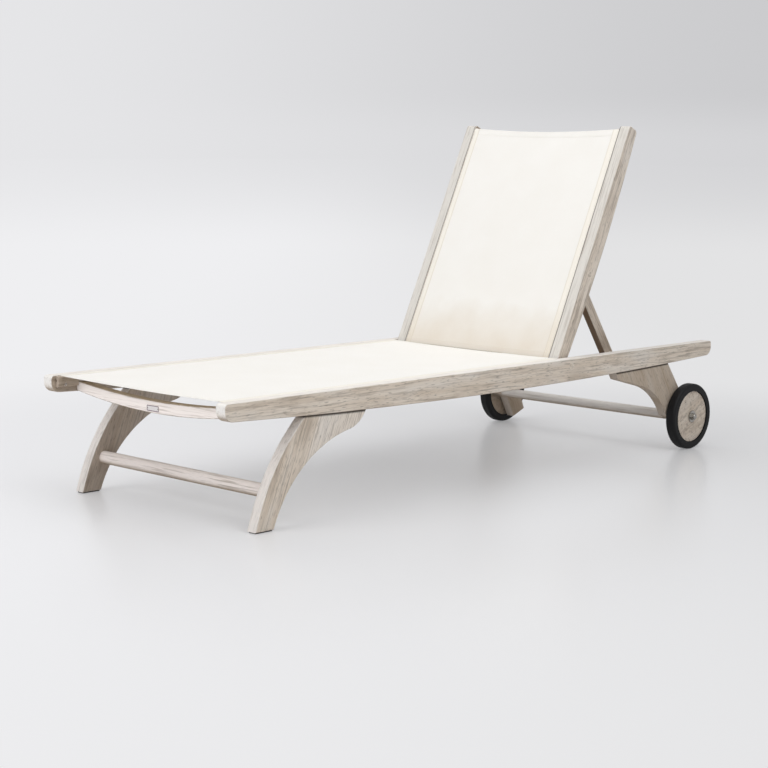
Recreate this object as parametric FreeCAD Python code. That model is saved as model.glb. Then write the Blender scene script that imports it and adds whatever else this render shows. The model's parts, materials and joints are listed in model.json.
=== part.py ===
import FreeCAD, Part
import math
import os

Vector = FreeCAD.Vector
os.makedirs("parts", exist_ok=True)

# A teak sun lounger with sling seat and back, a propped reclining back and two rear wheels.
# Sizes are in millimetres. X runs across (+X is the sitter's left), Y along (the foot end
# is at -Y), Z up from the floor. Each piece is made on the left and mirrored to the right.

# Side rails
RAIL_LENGTH = 2000.0
FRAME_WIDTH = 705.0
RAIL_THICKNESS = 33.0
RAIL_TOP = 320.0
RAIL_END_DEPTH = 43.0
RAIL_BELLY = 22.0
RAIL_NOSE_RADIUS = 9.0
RAIL_CHIN_RADIUS = 26.0
ARRIS = 2.0

# Front legs
LEG_THICKNESS = 30.0
FOOT_SETBACK = 96.0
FOOT_DEPTH = 60.0
FRONT_LEG_TOP_SETBACK = 258.0
FRONT_LEG_BULGE = 22.0
FRONT_LEG_TAIL_SETBACK = 467.0
FRONT_TAIL_NOSE_LENGTH = 56.0
FRONT_TAIL_NOSE_DEPTH = 43.0
FRONT_TAIL_NOSE_BULGE = 8.0
FRONT_LEG_HOLLOW = 44.0
GLIDE_THICKNESS = 3.0
GLIDE_INSET = 1.5

# Wheels and rear legs
WHEEL_DIAMETER = 200.0
TYRE_WIDTH = 32.0
TYRE_SHOULDER = 8.0
TYRE_DEPTH = 22.0
DISC_THICKNESS = 24.0
RIDGE_WIDTH = 6.0
RIDGE_HEIGHT = 3.0
BUSH_RADIUS = 11.0
BUSH_PROUD = 1.0
AXLE_SETBACK = 139.0
AXLE_BOLT_RADIUS = 6.0
AXLE_HEAD_RADIUS = 11.0
AXLE_HEAD_HEIGHT = 7.0
AXLE_WASHER_THICKNESS = 2.5
AXLE_WASHER_RADIUS = 18.0
AXLE_NUT_ACROSS_FLATS = 19.0
AXLE_NUT_HEIGHT = 7.0
AXLE_CAP_HEIGHT = 5.0
AXLE_CAP_RADIUS = 8.0
AXLE_CAP_ROUND = 4.0
END_PLAY = 0.25
REAR_LEG_BEHIND_AXLE = 31.0
REAR_LEG_LEAN = 37.2
REAR_TIP_SETBACK = 492.0
REAR_TIP_RUN = 14.0
REAR_TIP_DEPTH = 21.0
REAR_KNEE_RUN = 132.0
REAR_KNEE_DEPTH = 51.0
REAR_CHIN_AHEAD = 88.0
REAR_CHIN_ABOVE = 7.0
STUB_AHEAD = 34.0
STUB_BELOW_AXLE = 14.0
STUB_TOE_BEHIND = 3.0
STUB_TOE_CLEARANCE = 20.0
STUB_HEEL_BEHIND = 56.0
STUB_HEEL_CLEARANCE = 41.0

# Stretchers between the legs, and the dowels that hold the legs to the rails
FRONT_STRETCHER_DIAMETER = 34.0
FRONT_STRETCHER_HEIGHT = 89.0
FRONT_STRETCHER_BEHIND_FOOT = 41.5
REAR_STRETCHER_DIAMETER = 29.0
REAR_STRETCHER_AHEAD = 49.0
REAR_STRETCHER_ABOVE = 5.0
STRETCHER_TENON_RADIUS = 10.0
STRETCHER_TENON_LENGTH = 18.0
DOWEL_RADIUS = 5.0
DOWEL_LENGTH = 50.0
FRONT_DOWEL_INSET = 45.0
REAR_DOWEL_FROM_TIP = 85.0
REAR_DOWEL_SPACING = 110.0

# Slings, with their battens, grooves and welt rods
FABRIC = 1.2
CLEARANCE = 0.3
WELT_RADIUS = 2.5
WELT_CLEARANCE = 0.1
BATTEN_THICKNESS = 10.0
BATTEN_HEIGHT = 28.0
BATTEN_DROP = 2.0
GROOVE_DEPTH = 12.0
SLING_SAG = 3.0
SLING_LEDGE = 4.0
SEAT_BATTEN_SETBACK = 14.0
SEAT_SLING_SETBACK = 26.0
SEAT_SLING_REAR_GAP = 4.0
SEAT_BATTEN_REAR_GAP = 8.0
BACK_BATTEN_START = 10.0
BACK_BATTEN_TOP_GAP = 10.0
BACK_SLING_START = 10.0
BACK_SLING_TOP_GAP = 13.0

# Bowed crossbars
CROSSBAR_DROP = 20.0
TENON_LENGTH = 16.0
TENON_SHOULDER = 6.0
FRONT_CROSSBAR_SETBACK = 80.0
FRONT_CROSSBAR_WIDTH = 30.0
FRONT_CROSSBAR_END_DEPTH = 24.0
FRONT_CROSSBAR_MID_DEPTH = 30.0
FRONT_CROSSBAR_BOW = 19.0
SEAT_SPREADER_AHEAD = 96.0
SEAT_SPREADER_WIDTH = 30.0
SEAT_SPREADER_END_DEPTH = 22.0
SEAT_SPREADER_MID_DEPTH = 26.0
SEAT_SPREADER_BOW = 14.0
BACK_SPREADER_WIDTH = 24.0
BACK_SPREADER_END_DEPTH = 20.0
BACK_SPREADER_MID_DEPTH = 22.0
BACK_SPREADER_BOW = 20.0
LOWER_SPREADER_START = 62.0
UPPER_SPREADER_TOP_GAP = 56.0

# Blank plate on the front crossbar
PLATE_WIDTH = 46.0
PLATE_HEIGHT = 15.0
PLATE_THICKNESS = 1.0
PLATE_OFFSET = -8.0
PLATE_DROP = 3.0
PLATE_PIN_RADIUS = 1.2
PLATE_PIN_LENGTH = 8.0
PLATE_PIN_INSET = 3.5

# Back: stiles and pivot
PIVOT_FROM_FOOT = 1296.0
STILE_WIDTH = 35.0
STILE_DEPTH = 40.0
STILE_BELLY = 13.0
STILE_TOP_RADIUS = 9.0
BACK_LENGTH = 740.0
BACK_ANGLE = 64.5
LOW_ANGLE = 6.5
PIVOT_BOLT_RADIUS = 5.0
PIVOT_HEAD_RADIUS = 10.0
PIVOT_HEAD_HEIGHT = 5.0
PIVOT_WASHER_THICKNESS = 7.0
PIVOT_WASHER_RADIUS = 14.0
PIVOT_NUT_ACROSS_FLATS = 15.0
PIVOT_NUT_HEIGHT = 8.0
PLUG_HEIGHT = 6.0
RUNNING_FIT = 0.05

# Strut: arms, brace, pegs and racks
PIVOT_TO_STRUT = 280.0
STRUT_BEHIND_AXIS = 5.0
STRUT_LENGTH = 303.0
ARM_WIDTH = 33.0
ARM_THICKNESS = 23.0
ARM_SPACER_LENGTH = 4.0
ARM_SPACER_RADIUS = 10.0
STRUT_BOLT_RADIUS = 4.0
STRUT_HEAD_RADIUS = 9.0
STRUT_HEAD_HEIGHT = 5.0
STRUT_NUT_ACROSS_FLATS = 13.0
STRUT_NUT_HEIGHT = 8.0
NUT_PLAY = 0.1
BRACE_FROM_PIVOT = 90.0
BRACE_RADIUS = 10.0
BRACE_TENON_RADIUS = 7.0
BRACE_TENON_LENGTH = 14.0
PEG_RADIUS = 8.0
PEG_DROP = 18.0
PEG_END_GAP = 4.0
PEG_RIDE = 0.4
RACK_THICKNESS = 20.0
RACK_HEIGHT = 17.5
RACK_LEAD = 36.0
RACK_TAIL = 26.0
NOTCH_DEPTH = 6.0
NOTCH_CLEARANCE = 0.5
LOWER_NOTCH_ANGLES = (52.0, 40.0, 28.0)

# Wood screws
SCREW_RADIUS = 2.0
SCREW_HEAD_RADIUS = 4.0
SCREW_HEAD_HEIGHT = 3.0
SCREW_BITE = 10.0
SCREW_RISE = 5.5
BATTEN_SCREW_INSET = 24.0
BATTEN_SCREW_SPACING = 201.0

# Places worked out from the sizes
foot_end = -RAIL_LENGTH / 2
head_end = RAIL_LENGTH / 2
rail_outer = FRAME_WIDTH / 2
rail_inner = rail_outer - RAIL_THICKNESS
rail_middle = rail_outer - RAIL_THICKNESS / 2
leg_inner = rail_middle - LEG_THICKNESS / 2
leg_outer = rail_middle + LEG_THICKNESS / 2
rail_end_bottom = RAIL_TOP - RAIL_END_DEPTH
batten_top = RAIL_TOP - BATTEN_DROP
batten_bottom = batten_top - BATTEN_HEIGHT
groove_width = FABRIC + 2 * CLEARANCE
hem_inner_radius = WELT_RADIUS + WELT_CLEARANCE
hem_outer_radius = hem_inner_radius + FABRIC
channel_radius = hem_outer_radius + CLEARANCE
channel_height = batten_top - GROOVE_DEPTH
pivot_y = foot_end + PIVOT_FROM_FOOT
pivot_z = RAIL_TOP - STILE_DEPTH / 2
stile_outer = rail_inner - PIVOT_WASHER_THICKNESS
stile_inner = stile_outer - STILE_WIDTH
stile_top = pivot_y + BACK_LENGTH
arm_outer = stile_inner - BATTEN_THICKNESS - ARM_SPACER_LENGTH
arm_inner = arm_outer - ARM_THICKNESS
peg_z = RAIL_TOP - PEG_DROP
wheel_radius = WHEEL_DIAMETER / 2
axle_y = head_end - AXLE_SETBACK
screw_height = batten_bottom + SCREW_RISE
across = Vector(1, 0, 0)
along = Vector(0, 1, 0)
up = Vector(0, 0, 1)
nodes = []


def side(y, z):
    """A point of an outline drawn in side view."""
    return Vector(0, y, z)


def front(x, z):
    """A point of an outline drawn in front view."""
    return Vector(x, 0, z)


def line(a, b):
    return Part.makeLine(a, b)


def arc(a, b, bulge, normal=across):
    """An arc from a to b whose middle stands off the chord, to the left as seen against normal."""
    chord = b - a
    off = normal.cross(chord).normalize()
    middle = (a + b) * 0.5 + off * bulge
    return Part.Arc(a, middle, b).toShape()


def plate(edges, start, depth, direction=across):
    """A board: the closed outline moved to start along direction and thickened by depth."""
    face = Part.Face(Part.Wire(edges))
    face.translate(direction * start)
    return face.extrude(direction * depth)


def edges_across(solid):
    """The edges that run straight across the lounger."""
    return [e for e in solid.Edges if e.BoundBox.YLength + e.BoundBox.ZLength < 1e-4]


def eased(solid, radius=ARRIS, direction=across):
    """Round the edges of a board's two broad faces, those square to direction."""
    flat = []
    for edge in solid.Edges:
        box = edge.BoundBox
        reach = box.XLength * direction.x + box.YLength * direction.y + box.ZLength * direction.z
        if reach < 1e-4:
            flat.append(edge)
    return solid.makeFillet(radius, flat)


def rod_x(x0, x1, y, z, radius):
    """A round bar across the lounger from x0 to x1."""
    return Part.makeCylinder(radius, x1 - x0, Vector(x0, y, z), across)


def ring_x(x0, x1, y, z, outer, inner):
    return rod_x(x0, x1, y, z, outer).cut(rod_x(x0, x1, y, z, inner))


def hex_x(x0, x1, y, z, across_flats):
    """A hexagon bar across the lounger."""
    radius = across_flats / math.sqrt(3)
    corners = []
    for k in range(7):
        turn = math.radians(60 * k)
        corners.append(Vector(x0, y + radius * math.cos(turn), z + radius * math.sin(turn)))
    return Part.Face(Part.makePolygon(corners)).extrude(across * (x1 - x0))


def box(x0, x1, y0, y1, z0, z1):
    return Part.makeBox(x1 - x0, y1 - y0, z1 - z0, Vector(x0, y0, z0))


def mirrored(shape):
    return shape.mirror(Vector(0, 0, 0), across)


def raised(shape):
    """Turn a piece of the back from lying flat to its place in the photograph."""
    turned = shape.copy()
    turned.rotate(Vector(0, pivot_y, pivot_z), across, BACK_ANGLE)
    return turned


def save(name, shape):
    shape.exportStep("parts/" + name + ".step")
    nodes.append(name)


def save_pair(name, shape):
    """One node on each side."""
    save(name + "_left", shape)
    save(name + "_right", mirrored(shape))


def save_both(name, shapes):
    """One node that groups the pieces of both sides."""
    save(name, Part.makeCompound(shapes + [mirrored(s) for s in shapes]))


def rail_bottom(y):
    """Height of the rail's lower edge, an arc that is lowest at mid length."""
    half = RAIL_LENGTH / 2
    radius = (half ** 2 + RAIL_BELLY ** 2) / (2 * RAIL_BELLY)
    return rail_end_bottom + radius - RAIL_BELLY - math.sqrt(radius ** 2 - y ** 2)


def screw_x(x_head, y, z, length):
    """A countersunk wood screw driven outwards from x_head."""
    tip = Vector(x_head, y, z)
    head = Part.makeCone(SCREW_HEAD_RADIUS, SCREW_RADIUS, SCREW_HEAD_HEIGHT, tip, across)
    return head.fuse(rod_x(x_head, x_head + length, y, z, SCREW_RADIUS)).removeSplitter()


def round_bar(x_face, y, z, radius, tenon_radius, tenon_length):
    """A round bar between two boards with a thinner tenon at each end."""
    reach = x_face + tenon_length
    bar = rod_x(-x_face, x_face, y, z, radius)
    return bar.fuse(rod_x(-reach, reach, y, z, tenon_radius)).removeSplitter()


def peg_y(angle):
    """Where the strut's pegs stand along the rails when the back is at this angle."""
    lean = math.radians(angle)
    arm_y = pivot_y + PIVOT_TO_STRUT * math.cos(lean) + STRUT_BEHIND_AXIS * math.sin(lean)
    arm_z = pivot_z + PIVOT_TO_STRUT * math.sin(lean) - STRUT_BEHIND_AXIS * math.cos(lean)
    return arm_y + math.sqrt(STRUT_LENGTH ** 2 - (arm_z - peg_z) ** 2)


# Outline of a side rail, also used to shape the tops of the legs
top_foot = side(foot_end, RAIL_TOP)
top_head = side(head_end, RAIL_TOP)
low_head = side(head_end, rail_end_bottom)
low_foot = side(foot_end, rail_end_bottom)
rail_outline = [line(top_foot, top_head), line(top_head, low_head)]
rail_outline += [arc(low_head, low_foot, RAIL_BELLY), line(low_foot, top_foot)]
rail_blank = plate(rail_outline, rail_inner, RAIL_THICKNESS)
noses = [e for e in edges_across(rail_blank) if abs(e.BoundBox.ZMax - RAIL_TOP) < 1e-4]
side_rail = rail_blank.makeFillet(RAIL_NOSE_RADIUS, noses)
chins = [e for e in edges_across(side_rail) if abs(e.BoundBox.ZMin - rail_end_bottom) < 1e-4]
side_rail = side_rail.makeFillet(RAIL_CHIN_RADIUS, chins)
side_rail = eased(side_rail)

# Front leg: a foot, a curved shin and a tail under the rail
foot_front = side(foot_end + FOOT_SETBACK, GLIDE_THICKNESS)
foot_rear = foot_front + along * FOOT_DEPTH
shin_y = foot_end + FRONT_LEG_TOP_SETBACK
tail_y = foot_end + FRONT_LEG_TAIL_SETBACK
shin_top = side(shin_y, rail_bottom(shin_y))
tail_end = side(tail_y, rail_bottom(tail_y))
tail_nose = tail_end + side(-FRONT_TAIL_NOSE_LENGTH, -FRONT_TAIL_NOSE_DEPTH)
shin_inside = side(shin_y, RAIL_TOP - RAIL_END_DEPTH / 2)
tail_inside = side(tail_y, RAIL_TOP - RAIL_END_DEPTH / 2)
leg_outline = [arc(foot_front, shin_top, FRONT_LEG_BULGE), line(shin_top, shin_inside)]
leg_outline += [line(shin_inside, tail_inside), line(tail_inside, tail_end)]
leg_outline += [arc(tail_end, tail_nose, FRONT_TAIL_NOSE_BULGE)]
leg_outline += [arc(tail_nose, foot_rear, -FRONT_LEG_HOLLOW), line(foot_rear, foot_front)]
front_leg = eased(plate(leg_outline, leg_inner, LEG_THICKNESS)).cut(rail_blank)
glide_edge = ARRIS + GLIDE_INSET
foot_glide = box(leg_inner + glide_edge, leg_outer - glide_edge, foot_front.y + glide_edge,
                 foot_rear.y - glide_edge, 0, GLIDE_THICKNESS)

# Rear leg: a straight back edge, a hollowed front that ends in a chin, and a stub below the axle
axle = side(axle_y, wheel_radius)
lean = math.radians(REAR_LEG_LEAN)
heel = axle + side(math.cos(lean), math.sin(lean)) * REAR_LEG_BEHIND_AXLE
heel_rise = (RAIL_TOP - RAIL_END_DEPTH / 2 - heel.z) / math.cos(lean)
heel_top = heel + side(-math.sin(lean), math.cos(lean)) * heel_rise
tip_y = head_end - REAR_TIP_SETBACK
tip = side(tip_y, rail_bottom(tip_y))
tip_low = tip + side(REAR_TIP_RUN, -REAR_TIP_DEPTH)
tip_inside = side(tip_y, heel_top.z)
knee = tip + side(REAR_KNEE_RUN, -REAR_KNEE_DEPTH)
chin = axle + side(-REAR_CHIN_AHEAD, REAR_CHIN_ABOVE)
knee_turn = (knee - tip_low).getAngle(chin - knee)
knee_bulge = (chin - knee).Length / 2 * math.tan(knee_turn / 2)
stub_top = axle + side(-STUB_AHEAD, -STUB_BELOW_AXLE)
stub_toe = side(axle.y + STUB_TOE_BEHIND, STUB_TOE_CLEARANCE)
stub_heel = side(axle.y + STUB_HEEL_BEHIND, STUB_HEEL_CLEARANCE)
leg_outline = [line(tip_inside, tip), line(tip, tip_low), line(tip_low, knee)]
leg_outline += [arc(knee, chin, knee_bulge), line(chin, stub_top), line(stub_top, stub_toe)]
leg_outline += [line(stub_toe, stub_heel), line(stub_heel, heel)]
leg_outline += [line(heel, heel_top), line(heel_top, tip_inside)]
rear_leg = eased(plate(leg_outline, leg_inner, LEG_THICKNESS)).cut(rail_blank)

# Dowels stand half in the leg and half in the rail
dowel_places = [shin_y + FRONT_DOWEL_INSET, tail_y - FRONT_DOWEL_INSET]
dowel_places += [tip_y + REAR_DOWEL_FROM_TIP, tip_y + REAR_DOWEL_FROM_TIP + REAR_DOWEL_SPACING]
leg_dowels = []
for y in dowel_places:
    foot_of_dowel = Vector(rail_middle, y, rail_bottom(y) - DOWEL_LENGTH / 2)
    leg_dowels.append(Part.makeCylinder(DOWEL_RADIUS, DOWEL_LENGTH, foot_of_dowel, up))
dowel_holes = Part.makeCompound(leg_dowels)
front_leg = front_leg.cut(dowel_holes)
rear_leg = rear_leg.cut(dowel_holes)
side_rail = side_rail.cut(dowel_holes)

# Stretchers
stretcher_tenon = (STRETCHER_TENON_RADIUS, STRETCHER_TENON_LENGTH)
front_stretcher_y = foot_front.y + FOOT_DEPTH / 2 + FRONT_STRETCHER_BEHIND_FOOT
front_stretcher = round_bar(leg_inner, front_stretcher_y, FRONT_STRETCHER_HEIGHT,
                            FRONT_STRETCHER_DIAMETER / 2, *stretcher_tenon)
rear_stretcher = round_bar(leg_inner, axle_y - REAR_STRETCHER_AHEAD, wheel_radius + REAR_STRETCHER_ABOVE,
                           REAR_STRETCHER_DIAMETER / 2, *stretcher_tenon)
front_leg = front_leg.cut(front_stretcher)
rear_leg = rear_leg.cut(rear_stretcher)

# Wheel: the tyre's bore grips a ridge on the wooden disc, and a bush runs on the axle bolt
wheel_start = leg_outer + AXLE_WASHER_THICKNESS + END_PLAY
wheel_end = wheel_start + TYRE_WIDTH
wheel_middle = (wheel_start + wheel_end) / 2
disc_start = wheel_middle - DISC_THICKNESS / 2
disc_end = wheel_middle + DISC_THICKNESS / 2
disc_radius = wheel_radius - TYRE_DEPTH
bush_end = disc_end + BUSH_PROUD
nut_start = bush_end + END_PLAY + AXLE_WASHER_THICKNESS
cap_start = nut_start + AXLE_NUT_HEIGHT
ridge = rod_x(wheel_middle - RIDGE_WIDTH / 2, wheel_middle + RIDGE_WIDTH / 2, axle_y, wheel_radius,
              disc_radius + RIDGE_HEIGHT)
disc_blank = rod_x(disc_start, disc_end, axle_y, wheel_radius, disc_radius)
wheel_disc = eased(disc_blank).fuse(ridge).removeSplitter()
bush = ring_x(wheel_start, bush_end, axle_y, wheel_radius, BUSH_RADIUS, AXLE_BOLT_RADIUS + RUNNING_FIT)
wheel_disc = wheel_disc.cut(rod_x(wheel_start, wheel_end, axle_y, wheel_radius, BUSH_RADIUS))
tyre_blank = rod_x(wheel_start, wheel_end, axle_y, wheel_radius, wheel_radius)
tyre = eased(tyre_blank, TYRE_SHOULDER)
tyre = tyre.cut(rod_x(wheel_start, wheel_end, axle_y, wheel_radius, disc_radius)).cut(ridge)

# Axle bolt, its washers and its cap nut
axle_bolt = rod_x(leg_inner - AXLE_HEAD_HEIGHT, leg_inner, axle_y, wheel_radius, AXLE_HEAD_RADIUS)
axle_bolt = axle_bolt.fuse(rod_x(leg_inner, cap_start, axle_y, wheel_radius, AXLE_BOLT_RADIUS))
rear_leg = rear_leg.cut(axle_bolt)
axle_washers = []
for start in (leg_outer, bush_end + END_PLAY):
    axle_washers.append(ring_x(start, start + AXLE_WASHER_THICKNESS, axle_y, wheel_radius,
                               AXLE_WASHER_RADIUS, AXLE_BOLT_RADIUS))
axle_nut = hex_x(nut_start, cap_start, axle_y, wheel_radius, AXLE_NUT_ACROSS_FLATS)
nut_cap = rod_x(cap_start, cap_start + AXLE_CAP_HEIGHT, axle_y, wheel_radius, AXLE_CAP_RADIUS)
cap_rim = [e for e in nut_cap.Edges if abs(e.BoundBox.XMin - nut_cap.BoundBox.XMax) < 1e-4]
nut_cap = nut_cap.makeFillet(AXLE_CAP_ROUND, cap_rim)
axle_nut = axle_nut.fuse(nut_cap).cut(axle_bolt)


def groove(x_face, y0, y1):
    """The keyhole channel behind a batten, where the hem and its welt rod lie."""
    centre = Vector(x_face - groove_width / 2, y0, channel_height)
    return Part.makeCylinder(channel_radius, y1 - y0, centre, along)


def batten(x_face, y0, y1):
    """A strip screwed to a rail or stile, with a rebate that leaves the groove open at the top."""
    strip = box(x_face - BATTEN_THICKNESS, x_face, y0, y1, batten_bottom, batten_top)
    inner = [e for e in strip.Edges if abs(e.BoundBox.XMax - strip.BoundBox.XMin) < 1e-4]
    strip = strip.makeFillet(ARRIS, inner)
    slot = box(x_face - groove_width, x_face, y0, y1, channel_height, batten_top)
    return strip.cut(slot).cut(groove(x_face, y0, y1))


def welt_rod(x_face, y0, y1):
    centre = Vector(x_face - groove_width / 2, y0, channel_height)
    return Part.makeCylinder(WELT_RADIUS, y1 - y0, centre, along)


def sling(x_face, y0, y1):
    """Cloth from groove to groove, a hem round each welt rod and a slight sag between."""
    hem_x = x_face - groove_width / 2
    ledge_x = x_face - BATTEN_THICKNESS - SLING_LEDGE
    low = batten_top + CLEARANCE
    high = low + FABRIC
    sag_edges = [arc(front(-ledge_x, high), front(ledge_x, high), SLING_SAG, along)]
    sag_edges += [line(front(ledge_x, high), front(ledge_x, low))]
    sag_edges += [arc(front(ledge_x, low), front(-ledge_x, low), -SLING_SAG, along)]
    sag_edges += [line(front(-ledge_x, low), front(-ledge_x, high))]
    cloth = plate(sag_edges, y0, y1 - y0, along)
    for sign in (-1, 1):
        centre = Vector(sign * hem_x, y0, channel_height)
        ledge = sorted((sign * ledge_x, sign * (hem_x + FABRIC / 2)))
        strip = box(ledge[0], ledge[1], y0, y1, low, high)
        skirt = box(sign * hem_x - FABRIC / 2, sign * hem_x + FABRIC / 2, y0, y1, channel_height, high)
        hem = Part.makeCylinder(hem_outer_radius, y1 - y0, centre, along)
        bore = Part.makeCylinder(hem_inner_radius, y1 - y0, centre, along)
        cloth = cloth.fuse(strip).fuse(skirt.fuse(hem).cut(bore))
    return cloth.removeSplitter()


def crossbar(x_face, y0, width, end_depth, mid_depth, bow):
    """A bar between two rails or stiles, bowed away from the cloth, with a tenon at each end."""
    end_top = RAIL_TOP - CROSSBAR_DROP
    end_low = end_top - end_depth
    edges = [arc(front(-x_face, end_top), front(x_face, end_top), bow, along)]
    edges += [line(front(x_face, end_top), front(x_face, end_low))]
    edges += [arc(front(x_face, end_low), front(-x_face, end_low), end_depth - mid_depth - bow, along)]
    edges += [line(front(-x_face, end_low), front(-x_face, end_top))]
    bar = eased(plate(edges, y0, width, along), ARRIS, along)
    reach = x_face + TENON_LENGTH
    tenon_y = (y0 + TENON_SHOULDER, y0 + width - TENON_SHOULDER)
    for ends in ((-reach, -x_face), (x_face, reach)):
        bar = bar.fuse(box(*ends, *tenon_y, end_low + TENON_SHOULDER, end_top - TENON_SHOULDER))
    return bar


def batten_notch(x_face, y0, width):
    """The part of a crossbar's end that a batten is notched over."""
    return box(x_face - BATTEN_THICKNESS, x_face, y0 - CLEARANCE, y0 + width + CLEARANCE,
               batten_bottom, RAIL_TOP - CROSSBAR_DROP + CLEARANCE)


def batten_screws(x_face, y0, y1):
    """Screws at even steps through a batten."""
    run = y1 - y0 - 2 * BATTEN_SCREW_INSET
    steps = max(1, round(run / BATTEN_SCREW_SPACING))
    places = [y0 + BATTEN_SCREW_INSET + run * k / steps for k in range(steps + 1)]
    x_head = x_face - BATTEN_THICKNESS
    return [screw_x(x_head, y, screw_height, BATTEN_THICKNESS + SCREW_BITE) for y in places]


# Seat: crossbars, battens, sling
front_bar_y = foot_end + FRONT_CROSSBAR_SETBACK
front_crossbar = crossbar(rail_inner, front_bar_y, FRONT_CROSSBAR_WIDTH, FRONT_CROSSBAR_END_DEPTH,
                          FRONT_CROSSBAR_MID_DEPTH, FRONT_CROSSBAR_BOW)
spreader_y = pivot_y - SEAT_SPREADER_AHEAD
seat_spreader = crossbar(rail_inner, spreader_y, SEAT_SPREADER_WIDTH, SEAT_SPREADER_END_DEPTH,
                         SEAT_SPREADER_MID_DEPTH, SEAT_SPREADER_BOW)
seat_span = (foot_end + SEAT_BATTEN_SETBACK, pivot_y - STILE_DEPTH / 2 - SEAT_BATTEN_REAR_GAP)
seat_cloth_span = (foot_end + SEAT_SLING_SETBACK, pivot_y - STILE_DEPTH / 2 - SEAT_SLING_REAR_GAP)
seat_batten = batten(rail_inner, *seat_span)
seat_batten = seat_batten.cut(batten_notch(rail_inner, front_bar_y, FRONT_CROSSBAR_WIDTH))
seat_batten = seat_batten.cut(batten_notch(rail_inner, spreader_y, SEAT_SPREADER_WIDTH))
seat_screws = batten_screws(rail_inner, *seat_span)
seat_screw_holes = Part.makeCompound(seat_screws)
seat_batten = seat_batten.cut(seat_screw_holes)
seat_welt = welt_rod(rail_inner, *seat_cloth_span)
seat_sling = sling(rail_inner, *seat_cloth_span)
side_rail = side_rail.cut(groove(rail_inner, *seat_cloth_span)).cut(seat_screw_holes)
side_rail = side_rail.cut(front_crossbar).cut(seat_spreader)

# Blank plate pinned to the front crossbar's face
bar_middle = RAIL_TOP - CROSSBAR_DROP - FRONT_CROSSBAR_BOW - FRONT_CROSSBAR_MID_DEPTH / 2
plate_z = bar_middle - PLATE_DROP
blank_plate = box(PLATE_OFFSET - PLATE_WIDTH / 2, PLATE_OFFSET + PLATE_WIDTH / 2,
                  front_bar_y - PLATE_THICKNESS, front_bar_y,
                  plate_z - PLATE_HEIGHT / 2, plate_z + PLATE_HEIGHT / 2)
plate_pins = []
for sign in (-1, 1):
    pin_x = PLATE_OFFSET + sign * (PLATE_WIDTH / 2 - PLATE_PIN_INSET)
    pin_start = Vector(pin_x, front_bar_y - PLATE_THICKNESS, plate_z)
    plate_pins.append(Part.makeCylinder(PLATE_PIN_RADIUS, PLATE_PIN_LENGTH, pin_start, along))
pin_holes = Part.makeCompound(plate_pins)
blank_plate = blank_plate.cut(pin_holes)
front_crossbar = front_crossbar.cut(pin_holes)

# Back, made lying flat with its front face level with the rails' tops
low_pivot = side(pivot_y, pivot_z - STILE_DEPTH / 2)
high_pivot = side(pivot_y, pivot_z + STILE_DEPTH / 2)
low_top = side(stile_top, pivot_z - STILE_DEPTH / 2)
high_top = side(stile_top, pivot_z + STILE_DEPTH / 2)
stile_outline = [arc(low_pivot, low_top, -STILE_BELLY), line(low_top, high_top)]
stile_outline += [line(high_top, high_pivot), arc(high_pivot, low_pivot, -STILE_DEPTH / 2)]
back_stile = plate(stile_outline, stile_inner, STILE_WIDTH)
top_corners = [e for e in edges_across(back_stile) if abs(e.BoundBox.YMin - stile_top) < 1e-4]
back_stile = eased(back_stile.makeFillet(STILE_TOP_RADIUS, top_corners))
back_span = (pivot_y + BACK_BATTEN_START, stile_top - BACK_BATTEN_TOP_GAP)
back_cloth_span = (pivot_y + BACK_SLING_START, stile_top - BACK_SLING_TOP_GAP)
lower_y = pivot_y + LOWER_SPREADER_START
upper_y = stile_top - UPPER_SPREADER_TOP_GAP - BACK_SPREADER_WIDTH
back_bars = []
for bar_y in (lower_y, upper_y):
    back_bars.append(crossbar(stile_inner, bar_y, BACK_SPREADER_WIDTH, BACK_SPREADER_END_DEPTH,
                              BACK_SPREADER_MID_DEPTH, BACK_SPREADER_BOW))
back_batten = batten(stile_inner, *back_span)
for bar_y in (lower_y, upper_y):
    back_batten = back_batten.cut(batten_notch(stile_inner, bar_y, BACK_SPREADER_WIDTH))
back_screws = batten_screws(stile_inner, *back_span)
back_screw_holes = Part.makeCompound(back_screws)
back_batten = back_batten.cut(back_screw_holes)
back_welt = welt_rod(stile_inner, *back_cloth_span)
back_sling = sling(stile_inner, *back_cloth_span)
back_stile = back_stile.cut(groove(stile_inner, *back_cloth_span)).cut(back_screw_holes)
back_stile = back_stile.cut(back_bars[0]).cut(back_bars[1])

# Pivot bolts of the back, under wooden plugs in the rails
plug_start = rail_outer - PLUG_HEIGHT
head_start = plug_start - PIVOT_HEAD_HEIGHT
pivot_nut_end = stile_inner - NUT_PLAY
pivot_plug = rod_x(plug_start, rail_outer, pivot_y, pivot_z, PIVOT_HEAD_RADIUS)
pivot_bolt = rod_x(head_start, plug_start, pivot_y, pivot_z, PIVOT_HEAD_RADIUS)
pivot_shank = rod_x(pivot_nut_end - PIVOT_NUT_HEIGHT, head_start, pivot_y, pivot_z, PIVOT_BOLT_RADIUS)
pivot_bolt = pivot_bolt.fuse(pivot_shank)
side_rail = side_rail.cut(pivot_bolt).cut(pivot_plug)
pivot_bore = rod_x(stile_inner, stile_outer, pivot_y, pivot_z, PIVOT_BOLT_RADIUS + RUNNING_FIT)
back_stile = back_stile.cut(pivot_bore)
pivot_washer = ring_x(stile_outer, rail_inner, pivot_y, pivot_z, PIVOT_WASHER_RADIUS, PIVOT_BOLT_RADIUS)
pivot_nut = hex_x(pivot_nut_end - PIVOT_NUT_HEIGHT, pivot_nut_end, pivot_y, pivot_z,
                  PIVOT_NUT_ACROSS_FLATS)
pivot_nut = pivot_nut.cut(pivot_shank)

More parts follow.
